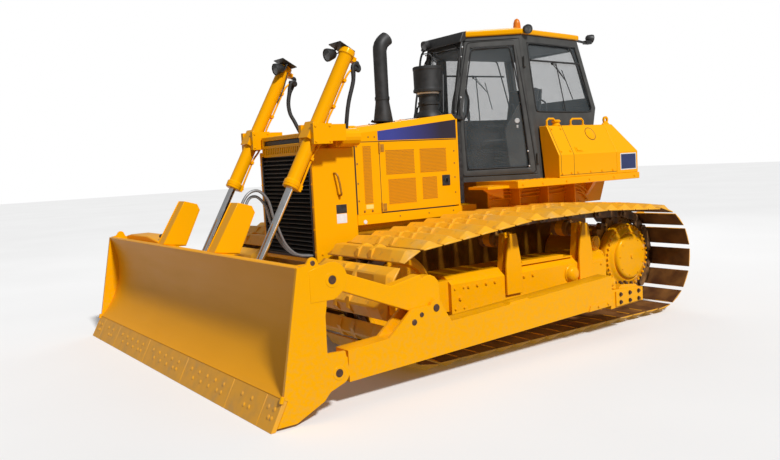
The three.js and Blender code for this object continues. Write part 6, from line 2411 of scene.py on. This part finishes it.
def makeRod(side, hand, look=liftLine):
    body = f"{side}_rod"
    axis = Vector(look["axis"])
    length = look["length"]
    bm = bmesh.new()
    spunInto(
        bm,
        [
            (0.11, 0), (0.11, 0.0325), (length - 0.062, 0.0325), (length - 0.060, 0.030),
            (length - 0.040, 0.028), (length - 0.040, 0),
        ],
        liftAt(hand, 0), axis, 40,
    )
    rod = finishPiece(f"{side}_polished_rod", bm, body, chrome)
    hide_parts(f"{side}_lift_rod")
    bm = bmesh.new()
    eye = liftAt(hand, length)
    spunInto(
        bm,
        [
            (-0.042, 0.026), (-0.042, 0.052), (-0.038, 0.057), (0.038, 0.057), (0.042, 0.052),
            (0.042, 0.026), (-0.042, 0.026),
        ],
        eye, (0, 1, 0), 40,
    )
    spunInto(bm, [(-0.0595, 0), (-0.0595, 0.036), (-0.052, 0.038), (-0.050, 0.0)], eye, axis, 32)
    finishPiece(f"{side}_rod_eye", bm, body, paint, 0.001, 1)


def makeWorkLamp(side, hand):
    body = f"{side}_cylinder"
    inward = -hand
    bm = bmesh.new()
    # flat bracket over the cylinder head, and the arm that drops to the lamp
    low, high = sorted((inward * -0.045, inward * 0.150))
    tiltedBox(bm, hand, (-0.843, -0.050, low), (-0.833, 0.125, high))
    low, high = sorted((inward * 0.112, inward * 0.150))
    tiltedBox(bm, hand, (-0.838, 0.040, low - 0.02), (-0.745, 0.052, high - 0.02))
    finishPiece(f"{side}_lamp_bracket", bm, body, lampBlack, 0.004)
    lampAt = place(3.000, hand * 0.490, 2.628)
    housing = makeLamp(f"{side}_lamp_housing", lampAt, (1, 0, -0.2), body, 0.058, 0.085)
    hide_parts(f"{side}_work_lamp")
    cable = [
        lampAt + Vector((-0.080, 0, 0.01)), lampAt + Vector((-0.14, hand * 0.02, 0.02)),
        liftAt(hand, -0.70, -0.030, inward * 0.062), liftAt(hand, -0.62, -0.050, inward * 0.050),
        liftAt(hand, -0.45, -0.058, inward * 0.034),
    ]
    tube(f"{side}_lamp_cable", cable, 0.005, body, rubber)


keeperShape = {
    "middle": 0.58,
    "near": 0.082,
    "far": 0.126,
    "x": (3.128, 3.314),
    "z": (1.846, 2.020),
    "bolts": ((3.150, 1.868), (3.150, 1.998), (3.292, 1.868), (3.292, 1.998)),
}


def makeBearingCap(side, hand, shape=keeperShape):
    # keeper plates over the trunnion pins, and their bolts
    bm = bmesh.new()
    centre = hand * shape["middle"]
    (x0, x1), (z0, z1) = shape["x"], shape["z"]
    for inward in (-1, 1):
        y0, y1 = sorted((centre + inward * shape["near"], centre + inward * shape["far"]))
        boxInto(bm, place(x0, y0, z0), place(x1, y1, z1))
        for x, z in shape["bolts"]:
            boltInto(bm, place(x, centre + inward * 0.125, z), (0, inward, 0), 0.010, 0.008)
    finishPiece(f"{side}_trunnion_keepers", bm, "root", paint, 0.005)


for side, hand in sides:
    makeBarrel(side, hand)
    makeLiftHoses(side, hand, hoseRoutes[side], hoseFeet[side])
    makeRod(side, hand)
    makeWorkLamp(side, hand)
    makeBearingCap(side, hand)
print("lift cylinders fitted out")


# rear hull: drawbar pin with its ring, and the plate's bolts


drawbarShape = {
    "x": -0.610,
    "middle": 0.630,
    "pin": [
        (-0.155, 0), (-0.155, 0.030), (-0.150, 0.034), (0.150, 0.034), (0.155, 0.055), (0.175, 0.055),
        (0.182, 0.048), (0.182, 0),
    ],
    "pinTop": 0.812,
    "ring": 0.044,
    "ringWire": 0.008,
    "plateX": -0.490,
    "boltY": (-0.235, -0.12, 0.12, 0.235),
    "boltZ": (0.62, 0.94, 1.00),
}


def makeDrawbar(shape=drawbarShape):
    bm = bmesh.new()
    spunInto(bm, shape["pin"], place(shape["x"], 0, shape["middle"]), up, 32)
    turns = [math.radians(a) for a in range(0, 181, 20)]
    ring = [(shape["ring"] * math.cos(turn), shape["ring"] * math.sin(turn)) for turn in turns]
    points = [place(shape["x"], a, shape["pinTop"] + b) for a, b in ring]
    last = len(points) - 1
    heading = [points[min(k + 1, last)] - points[max(k - 1, 0)] for k in range(last + 1)]
    loftInto(bm, [(point, along, shape["ringWire"]) for point, along in zip(points, heading)], 10)
    finishPiece("drawbar_pin", bm, "root", darkBolt, 0.001, 1)
    bm = bmesh.new()
    for y in shape["boltY"]:
        for z in shape["boltZ"]:
            if abs(y) > 0.2 or z > 0.9:
                boltInto(bm, place(shape["plateX"], y, z), (-1, 0, 0), 0.018, 0.014)
    finishPiece("rear_plate_bolts", bm, "root", darkBolt)


makeDrawbar()
print("rear fitted out")
